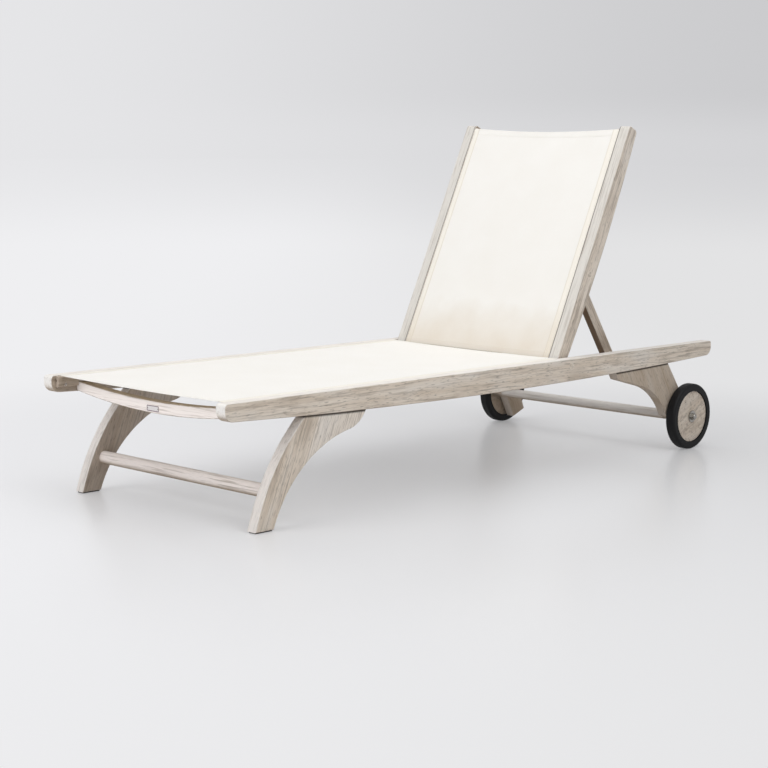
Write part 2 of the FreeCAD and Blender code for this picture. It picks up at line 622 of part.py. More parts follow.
# Strut bolts, carried by the back, with spacers and nuts and under wooden plugs in the stiles
arm_y = pivot_y + PIVOT_TO_STRUT
arm_z = pivot_z - STRUT_BEHIND_AXIS
plug_start = stile_outer - PLUG_HEIGHT
head_start = plug_start - STRUT_HEAD_HEIGHT
strut_nut_end = arm_inner - NUT_PLAY
strut_plug = rod_x(plug_start, stile_outer, arm_y, arm_z, STRUT_HEAD_RADIUS)
strut_bolt = rod_x(head_start, plug_start, arm_y, arm_z, STRUT_HEAD_RADIUS)
strut_shank = rod_x(strut_nut_end - STRUT_NUT_HEIGHT, head_start, arm_y, arm_z, STRUT_BOLT_RADIUS)
strut_bolt = strut_bolt.fuse(strut_shank)
back_stile = back_stile.cut(strut_bolt).cut(strut_plug)
back_batten = back_batten.cut(strut_bolt)
strut_spacer = ring_x(arm_outer, arm_outer + ARM_SPACER_LENGTH, arm_y, arm_z, ARM_SPACER_RADIUS,
                      STRUT_BOLT_RADIUS)
strut_nut = hex_x(strut_nut_end - STRUT_NUT_HEIGHT, strut_nut_end, arm_y, arm_z,
                  STRUT_NUT_ACROSS_FLATS)
strut_nut = strut_nut.cut(strut_shank)

# Strut arms, their brace and their pegs, in their place behind the raised back
pivot = side(pivot_y, pivot_z)
arm_top = FreeCAD.Rotation(across, BACK_ANGLE).multVec(side(arm_y, arm_z) - pivot) + pivot
arm_foot = side(peg_y(BACK_ANGLE), peg_z)
arm_half = across.cross(arm_foot - arm_top).normalize() * (ARM_WIDTH / 2)
arm_outline = [line(arm_top + arm_half, arm_foot + arm_half)]
arm_outline += [arc(arm_foot + arm_half, arm_foot - arm_half, ARM_WIDTH / 2)]
arm_outline += [line(arm_foot - arm_half, arm_top - arm_half)]
arm_outline += [arc(arm_top - arm_half, arm_top + arm_half, ARM_WIDTH / 2)]
strut_arm = eased(plate(arm_outline, arm_inner, ARM_THICKNESS))
arm_bore = rod_x(arm_inner, arm_outer, arm_top.y, arm_top.z, STRUT_BOLT_RADIUS + RUNNING_FIT)
brace_at = arm_top + (arm_foot - arm_top).normalize() * BRACE_FROM_PIVOT
strut_brace = round_bar(arm_inner, brace_at.y, brace_at.z, BRACE_RADIUS, BRACE_TENON_RADIUS,
                        BRACE_TENON_LENGTH)
strut_peg = rod_x(arm_inner, rail_inner - PEG_END_GAP, arm_foot.y, arm_foot.z, PEG_RADIUS)
strut_arm = strut_arm.cut(arm_bore).cut(strut_brace).cut(strut_peg)
strut_peg = eased(strut_peg)

# Racks: a row of notches on each rail for the strut's pegs
rack_top = peg_z - PEG_RADIUS - PEG_RIDE
rack_inner = rail_inner - RACK_THICKNESS
notch_radius = PEG_RADIUS + NOTCH_CLEARANCE
notch_z = rack_top - NOTCH_DEPTH + notch_radius
notch_places = [peg_y(angle) for angle in (BACK_ANGLE,) + LOWER_NOTCH_ANGLES]
rack = box(rack_inner, rail_inner, arm_foot.y - RACK_LEAD, peg_y(LOW_ANGLE) + RACK_TAIL,
           rack_top - RACK_HEIGHT, rack_top)
rack_inner_edges = [e for e in rack.Edges if abs(e.BoundBox.XMax - rack_inner) < 1e-4]
rack = rack.makeFillet(ARRIS, rack_inner_edges)
for y in notch_places:
    rack = rack.cut(rod_x(rack_inner, rail_inner, y, notch_z, notch_radius))
rack_screws = []
for before, after in zip(notch_places, notch_places[1:]):
    rack_screws.append(screw_x(rack_inner, (before + after) / 2, rack_top - RACK_HEIGHT / 2,
                               RACK_THICKNESS + SCREW_BITE))
rack_screw_holes = Part.makeCompound(rack_screws)
rack = rack.cut(rack_screw_holes)
side_rail = side_rail.cut(rack_screw_holes)

# Each piece to its own file
save_pair("side_rail", side_rail)
save_pair("seat_batten", seat_batten)
save_both("seat_batten_screws", seat_screws)
save("seat_sling", seat_sling)
save_pair("seat_welt_rod", seat_welt)
save("front_crossbar", front_crossbar)
save("blank_plate", blank_plate)
save("plate_pins", pin_holes)
save("seat_spreader", seat_spreader)
save_pair("front_leg", front_leg)
save_pair("foot_glide", foot_glide)
save("front_stretcher", front_stretcher)
save_pair("rear_leg", rear_leg)
save("rear_stretcher", rear_stretcher)
save_both("leg_dowels", leg_dowels)
save_pair("axle_bolt", axle_bolt)
save_both("axle_washers", axle_washers)
save_both("axle_cap_nuts", [axle_nut])
save_pair("wheel_disc", wheel_disc)
save_pair("wheel_bush", bush)
save_pair("tyre", tyre)
save_pair("pivot_bolt", pivot_bolt)
save_both("pivot_plugs", [pivot_plug])
save_both("pivot_washers", [pivot_washer])
save_both("pivot_nuts", [pivot_nut])
save_pair("back_stile", raised(back_stile))
save_pair("back_batten", raised(back_batten))
save_both("back_batten_screws", [raised(s) for s in back_screws])
save("back_sling", raised(back_sling))
save_pair("back_welt_rod", raised(back_welt))
save("lower_back_spreader", raised(back_bars[0]))
save("upper_back_spreader", raised(back_bars[1]))
save_pair("strut_bolt", raised(strut_bolt))
save_both("strut_plugs", [raised(strut_plug)])
save_both("strut_spacers", [raised(strut_spacer)])
save_both("strut_nuts", [raised(strut_nut)])
save_pair("strut_arm", strut_arm)
save("strut_brace", strut_brace)
save_pair("strut_peg", strut_peg)
save_pair("rack", rack)
save_both("rack_screws", rack_screws)
print(len(nodes), "nodes written")
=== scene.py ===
# %% [markdown]
# # A sun lounger with sling seat and back
# The lounger is a frame of weathered teak boards with two cloth slings, a back that a strut props up on
# notched racks, and two wooden wheels. The solids come from the CAD model and stay where they are; this
# script gives them their finishes, makes the cloth, and sets up camera, light and floor.

# %% Load the frame
import json
import math
import bpy
from mathutils import Matrix, Vector


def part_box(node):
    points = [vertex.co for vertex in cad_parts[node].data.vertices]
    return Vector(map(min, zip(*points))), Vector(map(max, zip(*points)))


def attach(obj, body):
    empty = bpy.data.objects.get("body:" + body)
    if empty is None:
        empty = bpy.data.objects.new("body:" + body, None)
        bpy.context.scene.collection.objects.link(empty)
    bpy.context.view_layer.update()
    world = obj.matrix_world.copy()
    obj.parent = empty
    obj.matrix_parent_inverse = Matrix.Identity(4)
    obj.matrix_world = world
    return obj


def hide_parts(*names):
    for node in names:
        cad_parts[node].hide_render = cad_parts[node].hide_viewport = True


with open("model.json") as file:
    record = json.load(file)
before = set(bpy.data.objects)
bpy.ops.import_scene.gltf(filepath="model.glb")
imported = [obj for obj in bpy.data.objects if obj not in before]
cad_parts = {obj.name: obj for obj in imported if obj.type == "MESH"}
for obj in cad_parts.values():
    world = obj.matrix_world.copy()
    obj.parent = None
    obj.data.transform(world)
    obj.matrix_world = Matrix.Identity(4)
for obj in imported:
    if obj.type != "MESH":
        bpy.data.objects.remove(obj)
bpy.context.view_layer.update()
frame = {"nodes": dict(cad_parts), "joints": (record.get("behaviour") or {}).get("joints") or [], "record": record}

MM = 0.001
nodes = frame["nodes"]

# %% [markdown]
# ## Camera
# The photograph was taken with a longish lens, about 0.6 m above the seat and about 45 degrees round from
# the foot end. The place, the turn and the focal length were found by fitting a pinhole camera to the
# rails, legs and wheels, so the render can be laid over the photograph. A camera in Blender looks along
# its own -Z, so its matrix is built from the directions right, up and backwards.

# %% Camera at the photograph's view
YAW, PITCH, ROLL = 0.76167, 0.13656, 0.01037
CAMERA_AT = Vector((3.39108, -3.65765, 0.92451))
FOCAL_PIXELS, IMAGE_PIXELS = 1769.83, 768

forward = Vector((-math.sin(YAW) * math.cos(PITCH), math.cos(YAW) * math.cos(PITCH), -math.sin(PITCH)))
level = Vector((math.cos(YAW), math.sin(YAW), 0))
above = level.cross(forward)
right = math.cos(ROLL) * level + math.sin(ROLL) * above
up = -math.sin(ROLL) * level + math.cos(ROLL) * above

lens = bpy.data.cameras.new("camera")
lens.sensor_width = 36
lens.lens = lens.sensor_width * FOCAL_PIXELS / IMAGE_PIXELS
camera = bpy.data.objects.new("camera", lens)
camera.matrix_world = Matrix.Translation(CAMERA_AT) @ Matrix((right, up, -forward)).transposed().to_4x4()
bpy.context.scene.collection.objects.link(camera)
bpy.context.scene.camera = camera
bpy.context.scene.view_settings.view_transform = "Standard"
print("lens", round(lens.lens, 2), "mm")

# %% [markdown]
# ## Two helpers for materials
# A colour is easiest to read off as an sRGB hex value, but shaders work with linear light, so one
# function converts it. The other adds a node to a material: attributes by keyword, sockets from a
# dictionary, where a socket gets either a plain value or another node's output.

# %% Colour and node helpers
def linear(hex_colour):
    """The linear colour, with alpha, of an sRGB hex value."""
    channels = [int(hex_colour[k:k + 2], 16) / 255 for k in (1, 3, 5)]
    return (*[c / 12.92 if c <= 0.04045 else ((c + 0.055) / 1.055) ** 2.4 for c in channels], 1.0)


def add(tree, kind, inputs=None, **settings):
    """Add a shader node, set its attributes, and fill or link its sockets."""
    made = tree.nodes.new("ShaderNode" + kind)
    for name, value in settings.items():
        setattr(made, name, value)
    for socket, value in (inputs or {}).items():
        if isinstance(value, bpy.types.NodeSocket):
            tree.links.new(value, made.inputs[socket])
        else:
            made.inputs[socket].default_value = value
    return made


def new_material(name):
    """An empty node material and its output node."""
    material = bpy.data.materials.new(name)
    material.use_nodes = True
    material.node_tree.nodes.clear()
    return material, material.node_tree, material.node_tree.nodes.new("ShaderNodeOutputMaterial")


print("paper white is", [round(c, 3) for c in linear("#FFFFFF")])

# %% [markdown]
# ## Studio paper
# The photograph shows a pale seamless studio. A real one is a paper roll that curves up behind the
# object. A wall would stand in the way when the lounger is looked at from behind, so the floor is one
# wide sheet that fades into the backdrop's colour with distance, and the world has that colour for
# camera and mirror rays. The paper is a little brighter on the left of the picture than on its right,
# so each tone is a pair of colours, mixed by how far a point lies to one side.

# %% Paper tones
PAPER_LEFT, PAPER_RIGHT = "#EFEFF1", "#E3E3E4"
HORIZON_LEFT, HORIZON_RIGHT = "#E6E6E8", "#D4D4D6"
BACKDROP_LEFT, BACKDROP_RIGHT = "#E6E6E8", "#CBCBCD"
PAPER_REACH, BACKDROP_REACH = 1.6, 0.25


def side_tone(tree, vector, reach, left, right):
    """A colour that runs from left to right as a vector points along the picture's level."""
    sideways = add(tree, "VectorMath", {0: vector, 1: level}, operation="DOT_PRODUCT")
    share = add(tree, "MapRange", {"Value": sideways.outputs["Value"], "From Min": -reach,
                                   "From Max": reach}, interpolation_type="SMOOTHSTEP")
    mixed = add(tree, "Mix", {0: share.outputs[0], 6: linear(left), 7: linear(right)}, data_type="RGBA")
    return mixed.outputs[2]


def background_rays(tree):
    """1 for the rays that should see the backdrop: camera, mirror and glass rays."""
    rays = add(tree, "LightPath")
    seen = add(tree, "Math", {0: rays.outputs["Is Camera Ray"], 1: rays.outputs["Is Glossy Ray"]},
               operation="MAXIMUM")
    seen = add(tree, "Math", {0: seen.outputs[0], 1: rays.outputs["Is Transmission Ray"]},
               operation="MAXIMUM")
    return seen.outputs[0]


print("paper from", PAPER_LEFT, "to", PAPER_RIGHT)

# %% [markdown]
# The floor has to keep the soft shadow under the seat and still reach the backdrop without an edge. Near
# the lounger it is lit paper with a faint sheen; for camera, mirror and glass rays a small share of it is
# painted light, a glowing share that lightens the shadow so that it does not go too dark. That share grows
# to the whole with distance. Distance enters as its inverse for the far blend, because that is even across
# the picture.

# %% Floor that fades into the backdrop
FADE_START, FADE_END, FAR_START, FLOOR_HALF = 0.9, 2.4, 10.0, 60.0
SHADOW_LIFT, FLOOR_DROP = 0.28, 0.3 * MM
PAPER_ROUGHNESS, PAPER_SPECULAR = 0.26, 0.5

floor_paint, tree, out = new_material("studio_paper_satin")
spot = add(tree, "TexCoord").outputs["Object"]
distance = add(tree, "VectorMath", {0: spot}, operation="LENGTH").outputs["Value"]
fade = add(tree, "MapRange", {"Value": distance, "From Min": FADE_START, "From Max": FADE_END,
                              "To Min": SHADOW_LIFT}, interpolation_type="SMOOTHSTEP")
fade = add(tree, "Math", {0: fade.outputs[0], 1: background_rays(tree)}, operation="MULTIPLY")
nearness = add(tree, "Math", {0: 1.0, 1: distance}, operation="DIVIDE")
far = add(tree, "MapRange", {"Value": nearness.outputs[0], "From Min": 1 / FAR_START, "From Max": 0.0},
          interpolation_type="SMOOTHSTEP")
way = add(tree, "VectorMath", {0: spot}, operation="NORMALIZE").outputs[0]
paper_tone = side_tone(tree, spot, PAPER_REACH, PAPER_LEFT, PAPER_RIGHT)
far_tone = side_tone(tree, way, BACKDROP_REACH, HORIZON_LEFT, HORIZON_RIGHT)
seen_tone = add(tree, "Mix", {0: far.outputs[0], 6: paper_tone, 7: far_tone}, data_type="RGBA")
paper = add(tree, "BsdfPrincipled", {"Base Color": paper_tone, "Roughness": PAPER_ROUGHNESS,
                                     "Specular IOR Level": PAPER_SPECULAR})
# painted light: near the lounger this glowing share lightens the shadow, far off it is the backdrop's colour
lift_and_backdrop_glow = add(tree, "Emission", {"Color": seen_tone.outputs[2]})
both = add(tree, "MixShader", {0: fade.outputs[0], 1: paper.outputs[0], 2: lift_and_backdrop_glow.outputs[0]})
tree.links.new(both.outputs[0], out.inputs["Surface"])

floor_mesh = bpy.data.meshes.new("floor")
corners = [(x * FLOOR_HALF, y * FLOOR_HALF, 0) for x, y in ((-1, -1), (1, -1), (1, 1), (-1, 1))]
floor_mesh.from_pydata(corners, [], [(0, 1, 2, 3)])
floor_mesh.materials.append(floor_paint)
floor = bpy.data.objects.new("floor", floor_mesh)
floor.location.z = -FLOOR_DROP
bpy.context.scene.collection.objects.link(floor)
print("floor", 2 * FLOOR_HALF, "m wide")

# %% [markdown]
# The world does two jobs. Camera and mirror rays see the backdrop's colour in it, which is brightest where
# the paper curves up from the floor. All other rays get a weak, slightly cool light from every side, like
# the walls of a white room.

# %% World
AMBIENT_COLOUR, AMBIENT = "#F4F6FA", 0.2
CURVE_RISE = 0.03

world = bpy.data.worlds.new("studio")
bpy.context.scene.world = world
world.use_nodes = True
tree = world.node_tree
tree.nodes.clear()
way = add(tree, "TexCoord").outputs["Generated"]
ambient = add(tree, "Background", {"Color": linear(AMBIENT_COLOUR), "Strength": AMBIENT})
low_tone = side_tone(tree, way, BACKDROP_REACH, HORIZON_LEFT, HORIZON_RIGHT)
high_tone = side_tone(tree, way, BACKDROP_REACH, BACKDROP_LEFT, BACKDROP_RIGHT)
upward = add(tree, "SeparateXYZ", {0: way}).outputs["Z"]
rise = add(tree, "MapRange", {"Value": upward, "From Max": CURVE_RISE}, interpolation_type="SMOOTHSTEP")
backdrop_tone = add(tree, "Mix", {0: rise.outputs[0], 6: low_tone, 7: high_tone}, data_type="RGBA")
backdrop = add(tree, "Background", {"Color": backdrop_tone.outputs[2], "Strength": 1.0})
both = add(tree, "MixShader", {0: background_rays(tree), 1: ambient.outputs[0], 2: backdrop.outputs[0]})
sky = tree.nodes.new("ShaderNodeOutputWorld")
tree.links.new(both.outputs[0], sky.inputs["Surface"])
print("ambient light", AMBIENT)

# %% [markdown]
# ## Light
# The light in the photograph is soft and comes mostly from above: the shadow lies right under the seat.
# Faces towards the foot end are the brightest, so a second softbox stands there, and a weaker one on the
# right opens up the long side of the frame. Large area lamps give such broad, gentle shading. The one at
# the foot is kept out of mirror rays, or the paper would glare when the lounger is seen from its head.

# %% Softboxes
def softbox(name, at, aim, size, watts):
    """A rectangular area lamp at a point, turned towards another point."""
    lamp = bpy.data.lights.new(name, "AREA")
    lamp.shape = "RECTANGLE"
    lamp.size, lamp.size_y = size
    lamp.energy = watts
    holder = bpy.data.objects.new(name, lamp)
    holder.location = at
    holder.rotation_mode = "QUATERNION"
    holder.rotation_quaternion = (Vector(aim) - Vector(at)).to_track_quat("-Z", "Y")
    bpy.context.scene.collection.objects.link(holder)
    return holder


softbox("softbox_above", at=(-0.6, 0.3, 3.3), aim=(0, 0, 0), size=(4.5, 5.5), watts=86)
softbox("softbox_right", at=(3.2, -0.6, 3.0), aim=(0.3, -0.3, 0.3), size=(2.0, 4.0), watts=62)
foot_light = softbox("softbox_foot", at=(-0.6, -4.6, 2.2), aim=(0, 0, 0.3), size=(3.0, 2.6), watts=94)
foot_light.visible_glossy = False
print("three softboxes")

# %% [markdown]
# ## Weathered teak
# All the boards are teak that has been left outdoors without oil: rain and sun have washed the brown out
# of its surface, which leaves a pale grey with a warm cast, thin darker growth lines and open pores that
# show as short dark dashes along the grain. A flat grey would look like painted metal. The pattern is
# built from 3-D noise stretched along the grain, so that long faces show lines and cut ends show dots.
# On real teak the streaks are 1 to 3 mm wide and the pores 0.3 mm. A pixel here is about 3 mm, so the
# streaks are drawn about twice and the pores nearly ten times as wide, and a fibre stands for a bundle.

# %% Grain of sawn teak
GRAIN_MM = {  # width and length of a mark, and how many finer octaves it has
    "bands": (17.0, 520.0, 3.0),
    "streaks": (4.6, 120.0, 3.0),
    "fibres": (1.6, 45.0, 2.0),
    "pores": (2.6, 20.0, 1.0),
    "weather": (48.0, 170.0, 3.0),
}
SWAY, SWAYS_PER_METRE = 6 * MM, 6.0


def grain_layers(tree, turned):
    """Noise by name, each stretched along Y to the size of one kind of mark; the grain sways a little."""
    bend = add(tree, "TexNoise", {"Vector": turned, "Scale": SWAYS_PER_METRE, "Detail": 1.0})
    shift = add(tree, "VectorMath", {0: bend.outputs["Color"], 1: (SWAY, 0, SWAY)}, operation="MULTIPLY")
    grain = add(tree, "VectorMath", {0: turned, 1: shift.outputs[0]}, operation="ADD")
    layers = {}
    for name, (wide, long, octaves) in GRAIN_MM.items():
        marks_per_metre = (1 / wide / MM, 1 / long / MM, 1 / wide / MM)
        stretched = add(tree, "VectorMath", {0: grain.outputs[0], 1: marks_per_metre}, operation="MULTIPLY")
        noise = add(tree, "TexNoise", {"Vector": stretched.outputs[0], "Scale": 1.0, "Detail": octaves})
        layers[name] = noise.outputs[0]
    return layers


def coat(tree, under, value, start, full, most, colour):
    """Lay a colour over another where a value runs from start to full; most is the share it covers there."""
    cover = add(tree, "MapRange", {"Value": value, "From Min": start, "From Max": full, "To Max": most})
    laid = add(tree, "Mix", {0: cover.outputs[0], 6: under, 7: linear(colour)}, data_type="RGBA")
    return laid.outputs[2]


print(len(GRAIN_MM), "layers of grain")

# %% [markdown]
# Weather does not reach every face alike, and the light does not either, so these coats are partly
# weathering and partly painted light and shade. Faces that look down or towards the middle of the lounger
# keep their brown, which also paints them as shaded faces; those that look up or towards the foot end are
# bleached nearly white, which also paints them as lit faces. The arrises are rubbed pale, which also paints
# a highlight along them. A dark line is painted along the joints: painted shade under the rail where the
# legs meet it, and shade and dirt in the slot beside each back stile. The top of the front crossbar lies
# under the cloth and stays brown too, which paints the cloth's shade on it. Directions and distances come
# from the surface itself, in the object's own coordinates, so these marks stay on the wood when the back
# is lowered.

# %% What the weather leaves on a face
# faces turned this way are bleached pale: partly sun bleaching, partly painted light from the lamps at the foot
# and above
LIT_AND_SUNNY_SIDE = (0, -0.8, 0.6)
RAIL_UNDERSIDE, RAIL_BELLY = 255.0 * MM, 22.0 * MM  # height in the middle, and the rise 1 m away from it
STILE_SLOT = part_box("back_stile_left")[0].x


def openness(tree, spot, facing):
    """Low on faces that look down or towards the middle of the lounger."""
    normal = add(tree, "SeparateXYZ", {0: facing})
    side = add(tree, "Math", {0: add(tree, "SeparateXYZ", {0: spot}).outputs["X"]}, operation="SIGN")
    outward = add(tree, "Math", {0: side.outputs[0], 1: normal.outputs["X"]}, operation="MULTIPLY")
    return add(tree, "Math", {0: outward.outputs[0], 1: normal.outputs["Z"]}, operation="MINIMUM").outputs[0]


def below_rail(tree, spot):
    """How far a point lies below the rail's underside, which bellies down towards the middle."""
    place = add(tree, "SeparateXYZ", {0: spot})
    square = add(tree, "Math", {0: place.outputs["Y"], 1: place.outputs["Y"]}, operation="MULTIPLY")
    edge = add(tree, "Math", {0: square.outputs[0], 1: RAIL_BELLY, 2: RAIL_UNDERSIDE},
               operation="MULTIPLY_ADD")
    return add(tree, "Math", {0: edge.outputs[0], 1: place.outputs["Z"]}, operation="SUBTRACT").outputs[0]


def beside_slot(tree, spot):
    """How far a point of a back stile lies from the slot that holds the sling."""
    away = add(tree, "Math", {0: add(tree, "SeparateXYZ", {0: spot}).outputs["X"]}, operation="ABSOLUTE")
    return add(tree, "Math", {0: away.outputs[0], 1: STILE_SLOT}, operation="SUBTRACT").outputs[0]


print("slot beside the back stiles at", round(STILE_SLOT / MM, 1), "mm")

# %% [markdown]
# The finish is a stack of thin coats, like glazes. The first ones are the wood itself: two base tones in
# broad bands, a paler second board where a piece is glued up, streaks, fibres, and patches that have gone
# silver or stayed grey-brown. The wheels also have dark blotches, from standing in the wet.

# %% Colour of the bare wood
FRESH_DARK, FRESH_LIGHT, PALE_BOARD, PALE_BOARD_SHARE = "#D8C9B7", "#E9DED0", "#F3ECE4", 0.5
STREAK, BLOTCH, BLOTCH_SIZE = "#8C7E70", "#7E6F61", 11 * MM
BAND_FROM, BAND_TO = 0.34, 0.66
STREAK_RANGE, BLOTCH_RANGE = (0.50, 0.70), (0.52, 0.68)
PATCHES = (  # layer, where its marks start and are full, the share that they cover, and their colour
    ("fibres", 0.52, 0.74, 0.35, "#978A7C"),
    ("weather", 0.52, 0.72, 0.5, "#E8E4DE"),
    ("weather", 0.45, 0.26, 0.6, "#AC9B89"),
)


def bare_wood(tree, spot, turned, layers, streaked, second_board, blotches):
    """The colour before sun and dirt: bands, a second board, streaks, fibres, patches and blotches."""
    tone = add(tree, "MapRange", {"Value": layers["bands"], "From Min": BAND_FROM, "From Max": BAND_TO})
    base = add(tree, "Mix", {0: tone.outputs[0], 6: linear(FRESH_DARK), 7: linear(FRESH_LIGHT)},
               data_type="RGBA")
    colour = base.outputs[2]
    if second_board is not None:
        height = add(tree, "SeparateXYZ", {0: turned}).outputs["Z"]
        colour = coat(tree, colour, height, second_board + MM, second_board - MM, PALE_BOARD_SHARE,
                      PALE_BOARD)
    colour = coat(tree, colour, layers["streaks"], *STREAK_RANGE, streaked, STREAK)
    for layer, start, full, most, mark in PATCHES:
        colour = coat(tree, colour, layers[layer], start, full, most, mark)
    if blotches:
        spots = add(tree, "TexNoise", {"Vector": spot, "Scale": 1 / BLOTCH_SIZE, "Detail": 3.0})
        colour = coat(tree, colour, spots.outputs[0], *BLOTCH_RANGE, blotches, BLOTCH)
    return colour


print("bare wood between", FRESH_DARK, "and", FRESH_LIGHT)

# %% [markdown]
# Two of the outer coats need a measure first. Arrises could be marked by hand, but comparing the surface's
# direction with the one it would have after a small rounding finds them on every board; their pale colour
# is wear and a painted highlight. The dark line of a joint is painted shade and dirt. It follows the
# distance from the joint, and only on open faces, because a hidden face would turn dark all over.

# %% Arrises, and painted shade and dirt in the joints
# pale arrises: partly wear, partly a painted highlight along the edges
WORN_AND_HIGHLIT_ARRIS, ARRIS_RADIUS, ARRIS_RANGE, ARRIS_SHARE = "#F0ECE6", 3 * MM, (0.99, 0.88), 0.35
# the dark colour painted in the joints: painted shade under the rail, shade and dirt in the slot
JOINT_SHADE_AND_DIRT, JOINT_SHADE_CORE, JOINT_SHADE_SHARE = "#2C251F", 0.4, 0.92
HIDDEN_FROM, HIDDEN_FULL = -0.2, -0.4


def worn_and_highlit_arrises(tree, colour):
    """Paint the colour pale where a small rounding would turn the surface: wear, and a painted highlight."""
    rounded = add(tree, "Bevel", {"Radius": ARRIS_RADIUS}, samples=4)
    flat = add(tree, "NewGeometry").outputs["Normal"]
    alike = add(tree, "VectorMath", {0: rounded.outputs[0], 1: flat}, operation="DOT_PRODUCT")
    return coat(tree, colour, alike.outputs["Value"], *ARRIS_RANGE, ARRIS_SHARE, WORN_AND_HIGHLIT_ARRIS)


def shaded_and_dirty_joint(tree, colour, distance, shut_in, reach):
    """Painted shade and dirt on open faces within reach of a joint, thickest in its core."""
    hidden = add(tree, "MapRange", {"Value": shut_in, "From Min": HIDDEN_FROM, "From Max": HIDDEN_FULL})
    away = add(tree, "Math", {0: hidden.outputs[0], 1: distance}, operation="ADD")
    return coat(tree, colour, away.outputs[0], reach, JOINT_SHADE_CORE * reach, JOINT_SHADE_SHARE, JOINT_SHADE_AND_DIRT)


print("arrises rubbed pale over", ARRIS_RADIUS / MM, "mm")

# %% [markdown]
# Old bare wood is matt and its raised fibres scatter light. So the roughness is high and follows the fibres,
# and a fine bump follows both streaks and fibres.

# %% Matt surface of bare wood
WOOD_IOR, WOOD_SPECULAR = 1.5, 0.3
FIBRE_FROM, FIBRE_TO, SMOOTHEST, ROUGHEST = 0.3, 0.7, 0.7, 0.92
STREAK_RIDGE, RIDGE_STRENGTH, RIDGE_HEIGHT = 0.6, 0.35, 0.4 * MM


def matt_wood(tree, layers, colour):
    """The surface of bare wood in a colour, with its fibres raised."""
    rough = add(tree, "MapRange", {"Value": layers["fibres"], "From Min": FIBRE_FROM, "From Max": FIBRE_TO,
                                   "To Min": SMOOTHEST, "To Max": ROUGHEST})
    ridges = add(tree, "Math", {0: layers["streaks"], 1: STREAK_RIDGE, 2: layers["fibres"]},
                 operation="MULTIPLY_ADD")
    bump = add(tree, "Bump", {"Height": ridges.outputs[0], "Strength": RIDGE_STRENGTH,
                              "Distance": RIDGE_HEIGHT})
    wood = add(tree, "BsdfPrincipled", {"Base Color": colour, "Roughness": rough.outputs[0],
                                        "Normal": bump.outputs[0], "IOR": WOOD_IOR,
                                        "Specular IOR Level": WOOD_SPECULAR})
    return wood.outputs[0]


print("roughness from", SMOOTHEST, "to", ROUGHEST)

# %% [markdown]
# The whole finish puts the coats on in the order in which they came: the wood, a chalky wash, brown on
# faces out of the weather that is also painted shade, pores, bleaching on sunny faces that is also painted
# light, with faint streaks left in it, the crossbar's top painted as the cloth's shade, arrises that are
# worn and painted as highlights, and the painted shade and dirt of the joints.

# %% Weathered teak
# the second colour is the brown of the crossbar's top under the cloth, partly weathering and partly painted shade
CHALK, SHELTERED_SHADED_TOP, PORE, FAINT_STREAK = "#EEE3D6", "#A8916C", "#71655A", "#9C8C7C"
SHELTER_AND_SHADE_FROM, SHELTER_AND_SHADE_FULL = -0.2, -0.55
LIT_AND_SUNNY_RANGE, TOP_RANGE = (0.1, 0.8), (0.5, 0.9)
PORE_RANGE, PORE_SHARE = (0.61, 0.69), 0.4
FAINT_RANGE, FAINT_SHARE = (0.52, 0.72), 0.6


def weathered_teak(name, turn, streaked=0.5, wash=0.0, bleach_and_light=0.6, bleached="#ECE8E4", brown=0.0,
                   sheltered_and_shaded="#8F7A63", kept=0.6, top_sheltered_and_shaded=0.0, joint_shade_and_dirt=None, joint_shade_and_dirt_reach=5 * MM,
                   second_board=None, blotches=0.0):
    """Sawn, sanded, weathered teak with painted light and shade; turn brings its grain onto Y, the rest says how
    it has weathered and where it is painted lighter or darker.
    """
    material, tree, out = new_material("teak_weathered_" + name)
    place = add(tree, "TexCoord")
    spot, facing = place.outputs["Object"], place.outputs["Normal"]
    turned = add(tree, "Mapping", {"Vector": spot, "Rotation": [math.radians(t) for t in turn]}).outputs[0]
    layers = grain_layers(tree, turned)
    colour = bare_wood(tree, spot, turned, layers, streaked, second_board, blotches)
    if wash:
        chalky = add(tree, "Mix", {0: wash, 6: colour, 7: linear(CHALK)}, data_type="RGBA")
        colour = chalky.outputs[2]
    shut_in = openness(tree, spot, facing)
    # brown on faces that look down or inward: partly kept out of the weather, partly painted shade
    shelter_and_shade = add(tree, "MapRange", {"Value": shut_in, "From Min": SHELTER_AND_SHADE_FROM, "From Max": SHELTER_AND_SHADE_FULL,
                                     "To Min": brown, "To Max": kept})
    stays = add(tree, "Mix", {0: shelter_and_shade.outputs[0], 6: colour, 7: linear(sheltered_and_shaded)}, data_type="RGBA")
    colour = coat(tree, stays.outputs[2], layers["pores"], *PORE_RANGE, PORE_SHARE, PORE)
    # bleaching on faces towards the light: partly weathering, partly painted light
    toward_light_and_sun = add(tree, "VectorMath", {0: facing, 1: LIT_AND_SUNNY_SIDE}, operation="DOT_PRODUCT")
    colour = coat(tree, colour, toward_light_and_sun.outputs["Value"], *LIT_AND_SUNNY_RANGE, bleach_and_light, bleached)
    colour = coat(tree, colour, layers["streaks"], *FAINT_RANGE, FAINT_SHARE * streaked, FAINT_STREAK)
    # the top under the cloth stays brown: partly out of the weather, partly the cloth's painted shade
    if top_sheltered_and_shaded:
        upward = add(tree, "SeparateXYZ", {0: facing}).outputs["Z"]
        colour = coat(tree, colour, upward, *TOP_RANGE, top_sheltered_and_shaded, SHELTERED_SHADED_TOP)
    # arrises painted pale as wear and as a highlight
    colour = worn_and_highlit_arrises(tree, colour)
    # painted shade and dirt along a joint
    if joint_shade_and_dirt:
        colour = shaded_and_dirty_joint(tree, colour, joint_shade_and_dirt(tree, spot), shut_in, joint_shade_and_dirt_reach)
    tree.links.new(matt_wood(tree, layers, colour), out.inputs["Surface"])
    return material


print("bleached towards", LIT_AND_SUNNY_SIDE)

